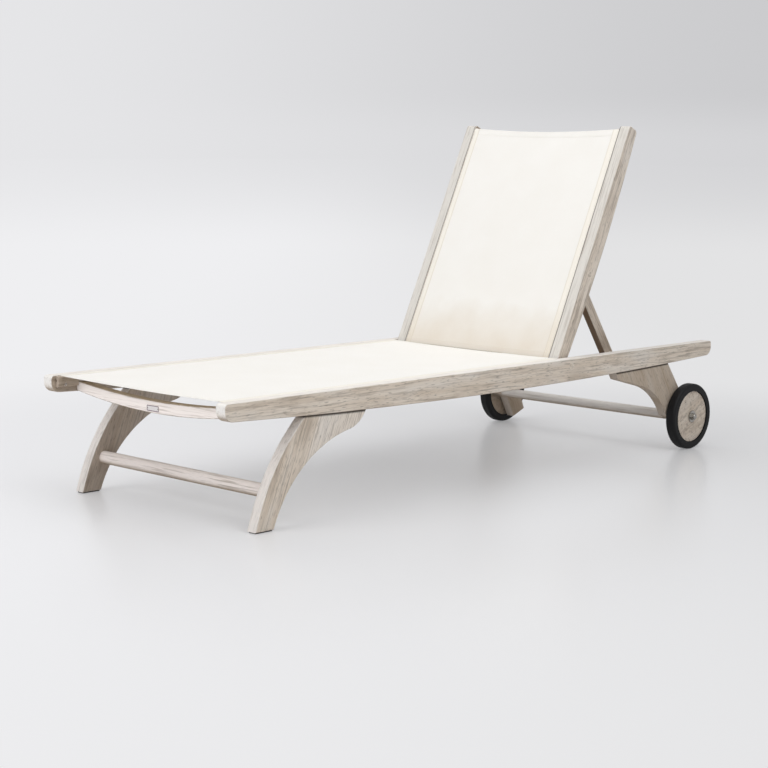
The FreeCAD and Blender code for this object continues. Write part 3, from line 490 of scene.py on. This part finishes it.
# %% [markdown]
# The grain runs along each board, so every direction of board has its own copy: straight along the
# rails, across in the bars, up the back, and slanted in strut, legs and wheel discs. The copies also
# differ in how far they are bleached and how much brown they keep, so some are lit and shaded copies:
# painted light on the rails, the crossbar and the rear stretcher, and painted shade on the battens, the
# strut and the rear legs. A front leg is glued up from two boards, and the rear one of them has come out
# paler.

# %% Copies of the teak for each direction of board, some lit and some shaded
BACK_ANGLE = 64.5
ACROSS = (0, 0, 90)
GLUE_LINE = 743 * MM
teak = {
    # lighter copies carry painted light, darker ones (seat batten, batten, strut, rear leg) painted shade
    "along": weathered_teak("along", (0, 0, 0), wash=0.12, bleach_and_light=0.95, bleached="#F3F0EC"),
    "seat_batten": weathered_teak("seat_batten", (0, 0, 0), bleach_and_light=0.1, brown=0.8),
    "across": weathered_teak("across", ACROSS),
    "crossbar": weathered_teak("crossbar", ACROSS, streaked=0.75, bleach_and_light=0.95, bleached="#FCF4EF",
                               top_sheltered_and_shaded=0.8),
    "front_bar": weathered_teak("front_bar", ACROSS, streaked=0.9, bleach_and_light=0.75, bleached="#F4ECE9"),
    "rear_bar": weathered_teak("rear_bar", ACROSS, bleach_and_light=0.9),
    "back": weathered_teak("back", (-BACK_ANGLE, 0, 0), streaked=0.75, wash=0.35, bleach_and_light=0.75,
                           bleached="#DBD9D4", joint_shade_and_dirt=beside_slot),
    "batten": weathered_teak("batten", (-BACK_ANGLE, 0, 0), brown=0.35),
    "strut": weathered_teak("strut", (55.1, 0, 0), bleach_and_light=0.0, brown=0.25, sheltered_and_shaded="#7A6450", kept=1.0),
    "front_leg": weathered_teak("front_leg", (-68.7, 0, 0), wash=0.08, bleach_and_light=0.55, bleached="#F0EEEE",
                                sheltered_and_shaded="#8F7562", kept=0.35, joint_shade_and_dirt=below_rail, joint_shade_and_dirt_reach=7 * MM,
                                second_board=GLUE_LINE),
    "rear_leg": weathered_teak("rear_leg", (-121, 0, 0), streaked=0.22, brown=0.42, joint_shade_and_dirt=below_rail,
                               joint_shade_and_dirt_reach=6 * MM),
    "disc": weathered_teak("disc", (-25, 0, 0), streaked=0.2, wash=0.1, brown=0.15, blotches=0.5),
}
print(len(teak), "copies of the teak")

# %% [markdown]
# ## Metal, rubber, plastic and thread
# The bolts, nuts, washers and screws are stainless steel, brushed to a satin finish: a grey mirror that is
# soft at the edges. The small plate is steel too, but blasted, which makes it pale and nearly matt, and its
# rim is fired enamel. The tyres are moulded black rubber with a weak, wide sheen, the glides are a softer
# rubber, bushes and spacers are turned nylon, the rods in the hems are extruded polypropylene, and the seams
# are sewn with twisted polyester thread. None of them is quite even, so colour, gloss and a fine bump share
# one noise. Its specks are drawn coarser than the real ones, or they would not show.

# %% Plain finishes
SPECK_BUMP = 0.4


def plain_finish(name, light, dark, roughness, speck_mm, bump_mm, metallic=0.0, specular=0.5):
    """A finish whose colour and gloss vary a little over specks of a given size."""
    material, tree, out = new_material(name)
    spot = add(tree, "TexCoord").outputs["Object"]
    specks = add(tree, "TexNoise", {"Vector": spot, "Scale": 1 / speck_mm / MM, "Detail": 3.0}).outputs[0]
    colour = add(tree, "Mix", {0: specks, 6: linear(dark), 7: linear(light)}, data_type="RGBA")
    gloss = add(tree, "MapRange", {"Value": specks, "To Min": roughness[0], "To Max": roughness[1]})
    bump = add(tree, "Bump", {"Height": specks, "Strength": SPECK_BUMP, "Distance": bump_mm * MM})
    shader = add(tree, "BsdfPrincipled", {"Base Color": colour.outputs[2], "Roughness": gloss.outputs[0],
                                          "Normal": bump.outputs[0], "Metallic": metallic,
                                          "Specular IOR Level": specular})
    tree.links.new(shader.outputs[0], out.inputs["Surface"])
    return material


# each: light and dark colour, range of roughness, size of the specks and height of the bump in mm
steel = plain_finish("stainless_steel_satin", "#B4B1AC", "#8A8782", (0.14, 0.3), 3.0, 0.03, metallic=1.0)
plate_steel = plain_finish("stainless_steel_blasted", "#F6F3F2", "#ECE8E7", (0.5, 0.62), 1.0, 0.03,
                           metallic=1.0)
tyre_rubber = plain_finish("rubber_moulded_black", "#101011", "#070708", (0.5, 0.66), 6.0, 0.15,
                           specular=0.25)
glide_rubber = plain_finish("rubber_glide_dark", "#2A2826", "#1C1B1A", (0.7, 0.9), 4.0, 0.1)
nylon = plain_finish("nylon_turned_black", "#3A3A3A", "#262626", (0.35, 0.5), 2.0, 0.03)
welt = plain_finish("polypropylene_rod", "#DAD8D2", "#C9C6BE", (0.4, 0.55), 3.0, 0.03)
thread = plain_finish("polyester_thread_twisted", "#F7F4ED", "#E4DED2", (0.5, 0.65), 1.0, 0.1)
enamel = plain_finish("enamel_fired_plum", "#7F6670", "#6A545E", (0.3, 0.45), 2.0, 0.02)
print("eight plain finishes")

# %% [markdown]
# Each CAD node already carries the name of its material in the record. The wooden ones are sorted by the
# direction of their grain, the plate gets its blasted steel, and all others follow their record.

# %% Give each CAD node its finish
grain_of = {
    "along": ["side_rail", "rack", "leg_dowels"],
    "seat_batten": ["seat_batten"],
    "across": ["seat_spreader", "lower_back_spreader", "upper_back_spreader", "strut_brace", "strut_peg",
               "pivot_plugs", "strut_plugs"],
    "crossbar": ["front_crossbar"],
    "front_bar": ["front_stretcher"],
    "rear_bar": ["rear_stretcher"],
    "back": ["back_stile"],
    "batten": ["back_batten"],
    "strut": ["strut_arm"],
    "front_leg": ["front_leg"],
    "rear_leg": ["rear_leg"],
    "disc": ["wheel_disc"],
}
finish_of = {name: teak[way] for way, names in grain_of.items() for name in names}
finish_of["blank_plate"] = plate_steel
by_slot = {"stainless_steel": steel, "tyre_rubber": tyre_rubber, "glide_rubber": glide_rubber,
           "bush_nylon": nylon, "welt_plastic": welt}
slot_of = {part["node"]: part["material_slot"] for part in frame["record"]["subparts"]}
for name, piece in nodes.items():
    plain_name = name.removesuffix("_left").removesuffix("_right")
    finish = finish_of.get(plain_name) or by_slot.get(slot_of[name])
    for place in piece.material_slots:
        if finish:
            place.material = finish
print(sum(1 for n in nodes if slot_of[n] == "weathered_teak"), "wooden nodes")

# %% [markdown]
# ## Sling cloth
# Outdoor slings are woven from polyester yarn in a soft vinyl coat. The coat makes the cloth matt to
# silky and easy to wipe, and the weave shows as a fine even pattern with slightly darker hollows. The
# real yarns are about 1 mm apart, so the weave is drawn at 2.4 mm, which is nearly a pixel here. The
# doubled strips along the sides look creamier than the single cloth, a darker line is painted along their
# inner edge, where the doubled strip steps down, and low on the back the cloth is tan, partly from years
# of use where the sitter leans and partly as painted shade where the back meets the seat.

# %% Coated polyester weave
YARN, SIDE_HEM, SEAM_LINE_WIDTH = 2.4 * MM, 19.0 * MM, 2.5 * MM
TAN_WIDTH, TAN_RAGGED, TAN_SHARE = 0.17, 0.12, 0.66
YARN_SHADE, YARN_LIGHT, WEAVE_HOLLOW = "#F2EFE9", "#F7F5F1", "#E4DED3"
HEM_CREAM, SEAM_LINE, TAN = "#F4EBD8", "#D2C6B2", "#DBCDB9"
HOLLOW_FROM, HOLLOW_SHARE, HEM_SHARE, SEAM_LINE_SHARE = 0.45, 0.5, 0.35, 0.5
CLOUDS_PER_METRE = 9.0
YARN_BUMP, YARN_HEIGHT = 0.3, 0.3 * MM
VINYL_ROUGHNESS, VINYL_IOR, VINYL_SPECULAR = 0.62, 1.5, 0.35


def coated_weave(name, turn, face, tan_from=None):
    """Woven coated yarn; turn lays its length on Y, the hems end at face, tan_from starts the shade."""
    material, tree, out = new_material(name)
    spot = add(tree, "TexCoord").outputs["Object"]
    flat = add(tree, "Mapping", {"Vector": spot, "Rotation": turn}).outputs[0]
    axes = add(tree, "SeparateXYZ", {0: flat})
    waves = []
    for axis in ("X", "Y"):
        phase = add(tree, "Math", {0: axes.outputs[axis], 1: math.pi / YARN}, operation="MULTIPLY")
        waves.append(add(tree, "Math", {0: phase.outputs[0]}, operation="SINE").outputs[0])
    crossing = add(tree, "Math", {0: waves[0], 1: waves[1]}, operation="MULTIPLY")
    height = add(tree, "Math", {0: crossing.outputs[0], 1: 0.5, 2: 0.5}, operation="MULTIPLY_ADD").outputs[0]
    cloud = add(tree, "TexNoise", {"Vector": flat, "Scale": CLOUDS_PER_METRE, "Detail": 3.0}).outputs[0]
    yarn = add(tree, "Mix", {0: cloud, 6: linear(YARN_SHADE), 7: linear(YARN_LIGHT)}, data_type="RGBA")
    colour = coat(tree, yarn.outputs[2], height, HOLLOW_FROM, 0.0, HOLLOW_SHARE, WEAVE_HOLLOW)
    aside = add(tree, "Math", {0: axes.outputs["X"]}, operation="ABSOLUTE").outputs[0]
    seam = face - SIDE_HEM
    colour = coat(tree, colour, aside, seam - MM, seam + MM, HEM_SHARE, HEM_CREAM)
    # a darker line painted along the step where the doubled strip ends
    step = add(tree, "Math", {0: aside, 1: seam}, operation="SUBTRACT")
    step = add(tree, "Math", {0: step.outputs[0]}, operation="ABSOLUTE")
    colour = coat(tree, colour, step.outputs[0], SEAM_LINE_WIDTH, 0.0, SEAM_LINE_SHARE, SEAM_LINE)
    # tan low on the back: partly soiling, partly painted shade where the back meets the seat
    if tan_from is not None:
        ragged = add(tree, "Math", {0: cloud, 1: TAN_RAGGED, 2: axes.outputs["Y"]}, operation="MULTIPLY_ADD")
        end = tan_from + 0.5 * TAN_RAGGED
        colour = coat(tree, colour, ragged.outputs[0], end + TAN_WIDTH, end, TAN_SHARE, TAN)
    bump = add(tree, "Bump", {"Height": height, "Strength": YARN_BUMP, "Distance": YARN_HEIGHT})
    cloth = add(tree, "BsdfPrincipled", {"Base Color": colour, "Roughness": VINYL_ROUGHNESS,
                                         "IOR": VINYL_IOR, "Specular IOR Level": VINYL_SPECULAR,
                                         "Normal": bump.outputs[0]})
    tree.links.new(cloth.outputs[0], out.inputs["Surface"])
    return material


PIVOT = Vector(next(j["pos_m"] for j in frame["joints"] if j["name"] == "recline"))
BACK_TURN = math.radians(BACK_ANGLE)
pivot_along = PIVOT.y * math.cos(BACK_TURN) + PIVOT.z * math.sin(BACK_TURN)
rail_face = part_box("seat_batten_left")[1].x
stile_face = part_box("back_batten_left")[1].x
seat_cloth = coated_weave("sling_polyester_woven_seat", (0, 0, 0), rail_face)
back_cloth = coated_weave("sling_polyester_woven_back", (-BACK_TURN, 0, 0), stile_face, pivot_along)
print("weave of", round(YARN / MM, 1), "mm")

# %% [markdown]
# ## Slings
# Each sling is one length of cloth. Along both sides it is folded round a thin rod and sewn, and the fold
# is slid into a slot behind the batten, so the rod can't pull out. That leaves a doubled strip along
# each side, and the cut ends are hemmed too, without a rod. A cloth simulation would settle to nearly
# the same taut sheet, so the sheet is swept directly. First comes one cross-section, from hem to hem: the
# sagging middle, the strip that lies on the batten, the bend into the slot and the loop round the rod.

# %% Cross-section of a sling
CLOTH, LAYER, SAG = 1.0 * MM, 0.6 * MM, 3.0 * MM
SLOT_MIDDLE, WELT_DROP, HEM_RADIUS, FOLD_APEX = 0.9 * MM, 12.0 * MM, 3.2 * MM, 4.6 * MM
BATTEN_TOP, CLOTH_REST, BEND = 318.0 * MM, 0.9 * MM, 1.2 * MM
LEDGE, STEP = 14.0 * MM, 0.5 * MM
SPAN_POINTS, BEND_POINTS, LOOP_POINTS = 30, 4, 14


def half_section(face):
    """Points (x, z, in the doubled strip) from the middle of the cloth to the end of its hem."""
    hem, rest, taut = face - SLOT_MIDDLE, BATTEN_TOP + CLOTH_REST, face - LEDGE
    xs = [(face - SIDE_HEM - STEP) * k / SPAN_POINTS for k in range(SPAN_POINTS + 1)]
    xs += [face - SIDE_HEM, face - 0.5 * (SIDE_HEM + LEDGE), taut, face - 0.65 * LEDGE, face - 0.35 * LEDGE]
    points = []
    for x in xs:
        drop = SAG * (1 - (x / taut) ** 2) if x < taut else 0
        points.append((x, rest - drop, x > face - SIDE_HEM - 0.5 * STEP))
    for k in range(BEND_POINTS + 1):
        turn = math.pi / 2 * (1 - k / BEND_POINTS)
        points.append((hem - BEND + BEND * math.cos(turn), rest - BEND + BEND * math.sin(turn), False))
    welt_z = BATTEN_TOP - WELT_DROP
    points.append((hem, welt_z + FOLD_APEX, False))
    open_angle = math.asin(HEM_RADIUS / FOLD_APEX)
    for k in range(LOOP_POINTS + 1):
        turn = open_angle - (math.pi + 2 * open_angle) * k / LOOP_POINTS
        points.append((hem + HEM_RADIUS * math.cos(turn), welt_z + HEM_RADIUS * math.sin(turn), False))
    return points


def full_section(face):
    """The cross-section from one hem to the other."""
    half = half_section(face)
    return [(-x, z, strip) for x, z, strip in reversed(half[1:])] + half


def section_length(face):
    """Length of the cloth along its cross-section."""
    section = full_section(face)
    return sum(math.dist(a[:2], b[:2]) for a, b in zip(section, section[1:]))


print(len(full_section(stile_face)), "points,", round(section_length(stile_face), 4), "m round a section")

# %% [markdown]
# The section is repeated along the length, close together where the end hems fold and evenly between. An
# upper and a lower skin, half a thickness to each side, and a rim round the cut edge close the sheet. The
# doubled hems are a layer thicker, and small puckers run beside the seams, as sewing pulls them in. Nothing
# holds the top edge of the back between its battens, so the tension draws it into a shallow hollow.

# %% Sweep the section along the length
END_HEM, ROW_SPACING = 20.0 * MM, 6.0 * MM
TOP_HOLLOW, HOLLOW_REACH = 8.0 * MM, 200.0 * MM
PUCKER, PUCKER_LENGTH, PUCKER_INSET, PUCKER_WIDTH = 0.3 * MM, 36 * MM, 6 * MM, 9 * MM
PUCKER_SKEW, HEM_EDGE, CREASE_DEGREES = 3, 2 * MM, 35


def mesh_piece(name, points, faces, material):
    """A smooth-shaded mesh object with sharp folds kept crisp."""
    mesh = bpy.data.meshes.new(name)
    mesh.from_pydata(points, [], faces)
    mesh.materials.append(material)
    mesh.validate()
    mesh.shade_smooth()
    mesh.set_sharp_from_angle(angle=math.radians(CREASE_DEGREES))
    piece = bpy.data.objects.new(name, mesh)
    bpy.context.scene.collection.objects.link(piece)
    return piece


def row_places(start, end):
    """Where the section is repeated along the length."""
    inner = (start + END_HEM + STEP, end - END_HEM - STEP)
    count = round((inner[1] - inner[0]) / ROW_SPACING)
    even = [inner[0] + (inner[1] - inner[0]) * k / count for k in range(count + 1)]
    return [start, start + 0.5 * END_HEM, start + END_HEM] + even + [end - END_HEM, end - 0.5 * END_HEM, end]


def drawn_in(x, y, face, end, hollow):
    """Where a point goes along the length as the free end is drawn in by hollow in its middle."""
    bow = max(0, 1 - (x / (face - LEDGE)) ** 2)
    near_end = max(0, 1 - (end - y) / HOLLOW_REACH)
    return y - hollow * bow * near_end ** 2


def cloth_skins(face, rows, hollow):
    """Points of the upper and the lower skin, row by row."""
    section = full_section(face)
    upper, lower = [], []
    for y in rows:
        at_end = min(y - rows[0], rows[-1] - y) < END_HEM + 0.5 * STEP
        for k, (x, z, strip) in enumerate(section):
            before, after = section[max(k - 1, 0)], section[min(k + 1, len(section) - 1)]
            normal = Vector((before[1] - after[1], 0, after[0] - before[0])).normalized()
            from_seam = (abs(x) - face + SIDE_HEM + PUCKER_INSET) / PUCKER_WIDTH
            wave = math.sin(2 * math.pi * y / PUCKER_LENGTH + PUCKER_SKEW * x / face)
            flat_part = z > BATTEN_TOP - SAG and abs(x) < face - HEM_EDGE
            lift = PUCKER * wave * math.exp(-from_seam ** 2) if flat_part and not at_end else 0
            doubled = LAYER if (strip or at_end) and flat_part else 0
            middle = Vector((x, drawn_in(x, y, face, rows[-1], hollow), z + lift))
            upper.append(middle + normal * (CLOTH / 2 + doubled))
            lower.append(middle - normal * CLOTH / 2)
    return upper, lower


def sling(name, face, start, end, place, material, hollow=0.0):
    """A closed sheet: two skins of faces between the rows and a rim round the cut edge."""
    rows = row_places(start, end)
    upper, lower = cloth_skins(face, rows, hollow)
    wide, size = len(upper) // len(rows), len(upper)
    faces = []
    for r in range(len(rows) - 1):
        for k in range(wide - 1):
            a, b = r * wide + k, (r + 1) * wide + k
            faces.append((a, a + 1, b + 1, b))
            faces.append((size + a, size + b, size + b + 1, size + a + 1))
    last = (len(rows) - 1) * wide
    edge = list(range(wide)) + [r * wide + wide - 1 for r in range(1, len(rows))]
    edge += [last + k for k in range(wide - 2, -1, -1)] + [r * wide for r in range(len(rows) - 2, 0, -1)]
    for a, b in zip(edge, edge[1:] + edge[:1]):
        faces.append((a, size + a, size + b, b))
    return mesh_piece(name, [place @ p for p in upper + lower], faces, material)


print("rows of cloth", ROW_SPACING / MM, "mm apart")

# %% [markdown]
# The seat lies as it is swept. The back is swept in the same flat place, as if it were folded down onto
# the rails, and then turned up about the recline pivot.

# %% Seat and back
BACK_FROM, BACK_TO = 10 * MM, 727 * MM

seat_low, seat_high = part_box("seat_sling")
back_start, back_end = PIVOT.y + BACK_FROM, PIVOT.y + BACK_TO
raise_back = Matrix.Translation(PIVOT) @ Matrix.Rotation(BACK_TURN, 4, "X") @ Matrix.Translation(-PIVOT)
lay_flat = Matrix.Identity(4)
seat_sling = sling("seat_sling_cloth", rail_face, seat_low.y, seat_high.y, lay_flat, seat_cloth)
back_sling = sling("back_sling_cloth", stile_face, back_start, back_end, raise_back, back_cloth, TOP_HOLLOW)
for piece in (seat_sling, back_sling):
    print(piece.name, len(piece.data.polygons), "faces")

# %% [markdown]
# The hems are sewn with two rows of lockstitch in thick polyester thread. Each stitch is a short
# rounded bead of thread. They are made as real geometry, one mesh for each sling, because a row of beads
# catches the light where a painted line would not.

# %% One row of stitches
STITCH, STITCH_PITCH, THREAD_WIDTH, THREAD_HEIGHT = 4.2 * MM, 5.2 * MM, 0.9 * MM, 0.45 * MM
BEAD_RINGS = ((-0.5, 0.25), (-0.22, 1.0), (0.22, 1.0), (0.5, 0.25))
BEAD_SIDES = 6


def stitch_row(points, faces, path_start, path_end, place, lay):
    """Beads of thread from one point (x, y) of the flat cloth to another; lay gives their place on it."""
    run = Vector(path_end) - Vector(path_start)
    way = run.normalized()
    aside = Vector((-way.y, way.x))
    for k in range(int(run.length / STITCH_PITCH)):
        flat = Vector(path_start) + way * STITCH_PITCH * (k + 0.5)
        y, z = lay(flat.x, flat.y)
        middle = Vector((flat.x, y))
        base = len(points)
        for along, swell in BEAD_RINGS:
            for turn in range(BEAD_SIDES):
                angle = 2 * math.pi * turn / BEAD_SIDES
                spot = middle + way * STITCH * along + aside * THREAD_WIDTH / 2 * math.cos(angle) * swell
                points.append(place @ Vector((spot.x, spot.y, z + THREAD_HEIGHT * math.sin(angle) * swell)))
        for ring in range(len(BEAD_RINGS) - 1):
            for turn in range(BEAD_SIDES):
                a = base + ring * BEAD_SIDES + turn
                b = base + ring * BEAD_SIDES + (turn + 1) % BEAD_SIDES
                faces.append((a, b, b + BEAD_SIDES, a + BEAD_SIDES))
        last = base + (len(BEAD_RINGS) - 1) * BEAD_SIDES
        faces.append(tuple(base + t for t in reversed(range(BEAD_SIDES))))
        faces.append(tuple(last + t for t in range(BEAD_SIDES)))


print("stitches every", STITCH_PITCH / MM, "mm")

# %% [markdown]
# Both rows of a hem show on the upper side, and the outer one of the side hems is hidden by the batten
# below. The beads sit half in the cloth, at the height that the sagging section has at their place, and
# they follow the hollow top edge of the back.

# %% Sew the hems
SIDE_ROWS, END_ROWS, ROW_END = (6 * MM, 16.5 * MM), (4 * MM, 17 * MM), 4 * MM


def stitches(name, face, start, end, place, hollow=0.0):
    """Two rows along each side hem and each end hem, on both sides of the cloth."""
    points, faces = [], []
    for up_side in (True, False):
        def lay(x, y):
            taut = face - LEDGE
            drop = SAG * (1 - (x / taut) ** 2) if abs(x) < taut else 0
            doubled = abs(x) > face - SIDE_HEM or min(y - start, end - y) < END_HEM
            skin = CLOTH / 2 + (LAYER if doubled else 0) if up_side else -CLOTH / 2
            return drawn_in(x, y, face, end, hollow), BATTEN_TOP + CLOTH_REST - drop + skin

        for inset in SIDE_ROWS if up_side else SIDE_ROWS[1:]:
            for x in (inset - face, face - inset):
                stitch_row(points, faces, (x, start + ROW_END), (x, end - ROW_END), place, lay)
        half = face - SIDE_HEM
        for inset in END_ROWS:
            for y in (start + inset, end - inset):
                stitch_row(points, faces, (-half, y), (half, y), place, lay)
    return mesh_piece(name, points, faces, thread)


seat_stitches = stitches("seat_sling_stitches", rail_face, seat_low.y, seat_high.y, lay_flat)
back_stitches = stitches("back_sling_stitches", stile_face, back_start, back_end, raise_back, TOP_HOLLOW)
faces_per_stitch = (len(BEAD_RINGS) - 1) * BEAD_SIDES + 2
for piece in (seat_stitches, back_stitches):
    print(piece.name, len(piece.data.polygons) // faces_per_stitch, "stitches")

# %% [markdown]
# ## Rim of the small plate
# The little plate on the front crossbar is bare, with a dark enamelled rim. On the real one the enamel
# fills a shallow border, so it stands up slightly and its corners are round. A painted border would have
# no edge to catch the light, so the rim is a bead: a low profile swept round a rectangle with round corners.

# %% Enamel rim
RIM_MARGIN, RIM_WIDTH, RIM_HEIGHT, RIM_SINK, RIM_CORNER = 0.3 * MM, 1.8 * MM, 0.5 * MM, 0.2 * MM, 2.6 * MM
RIM_PROFILE = ((0.0, -RIM_SINK), (0.0, 0.2 * RIM_HEIGHT), (0.15, 0.8 * RIM_HEIGHT), (0.35, RIM_HEIGHT),
               (0.65, RIM_HEIGHT), (0.85, 0.8 * RIM_HEIGHT), (1.0, 0.2 * RIM_HEIGHT), (1.0, -RIM_SINK))
CORNER_STEPS = 8

plate_low, plate_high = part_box("blank_plate")
middle = (plate_low + plate_high) / 2
half_wide = (plate_high.x - plate_low.x) / 2 - RIM_MARGIN - RIM_CORNER
half_tall = (plate_high.z - plate_low.z) / 2 - RIM_MARGIN - RIM_CORNER
points, faces = [], []
for quarter, (x, z) in enumerate(((1, 1), (-1, 1), (-1, -1), (1, -1))):
    for k in range(CORNER_STEPS + 1):
        turn = math.pi / 2 * (quarter + k / CORNER_STEPS)
        for share, rise in RIM_PROFILE:
            radius = RIM_CORNER - share * RIM_WIDTH
            points.append((middle.x + x * half_wide + radius * math.cos(turn), plate_low.y - rise,
                           middle.z + z * half_tall + radius * math.sin(turn)))
around, ring = len(points) // len(RIM_PROFILE), len(RIM_PROFILE)
for r in range(around):
    for k in range(ring):
        a, b = r * ring + k, r * ring + (k + 1) % ring
        c, d = (r + 1) % around * ring + (k + 1) % ring, (r + 1) % around * ring + k
        faces.append((a, d, c, b))
plate_rim = mesh_piece("plate_rim", points, faces, enamel)
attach(plate_rim, "frame")
print("rim", round((plate_high.x - plate_low.x) / MM, 1), "mm wide")

# %% [markdown]
# ## What the cloth is
# Each cloth and its stitches are attached to the body they move with, and the CAD solid that the cloth
# stands for is hidden. The size each cloth was cut to is printed: the section's length plus the strips
# turned under along the sides, and the length plus the two end hems.

# %% Attach the cloth to its body and hide its CAD solid
for cloth, seams, node, body, face, length in (
        (seat_sling, seat_stitches, "seat_sling", "frame", rail_face, seat_high.y - seat_low.y),
        (back_sling, back_stitches, "back_sling", "backrest", stile_face, back_end - back_start)):
    cut = (section_length(face) + 2 * SIDE_HEM, length + 2 * END_HEM)
    for piece in (cloth, seams):
        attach(piece, body)
    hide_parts(node)
    print(node, "was cut", [round(c, 3) for c in cut], "m")
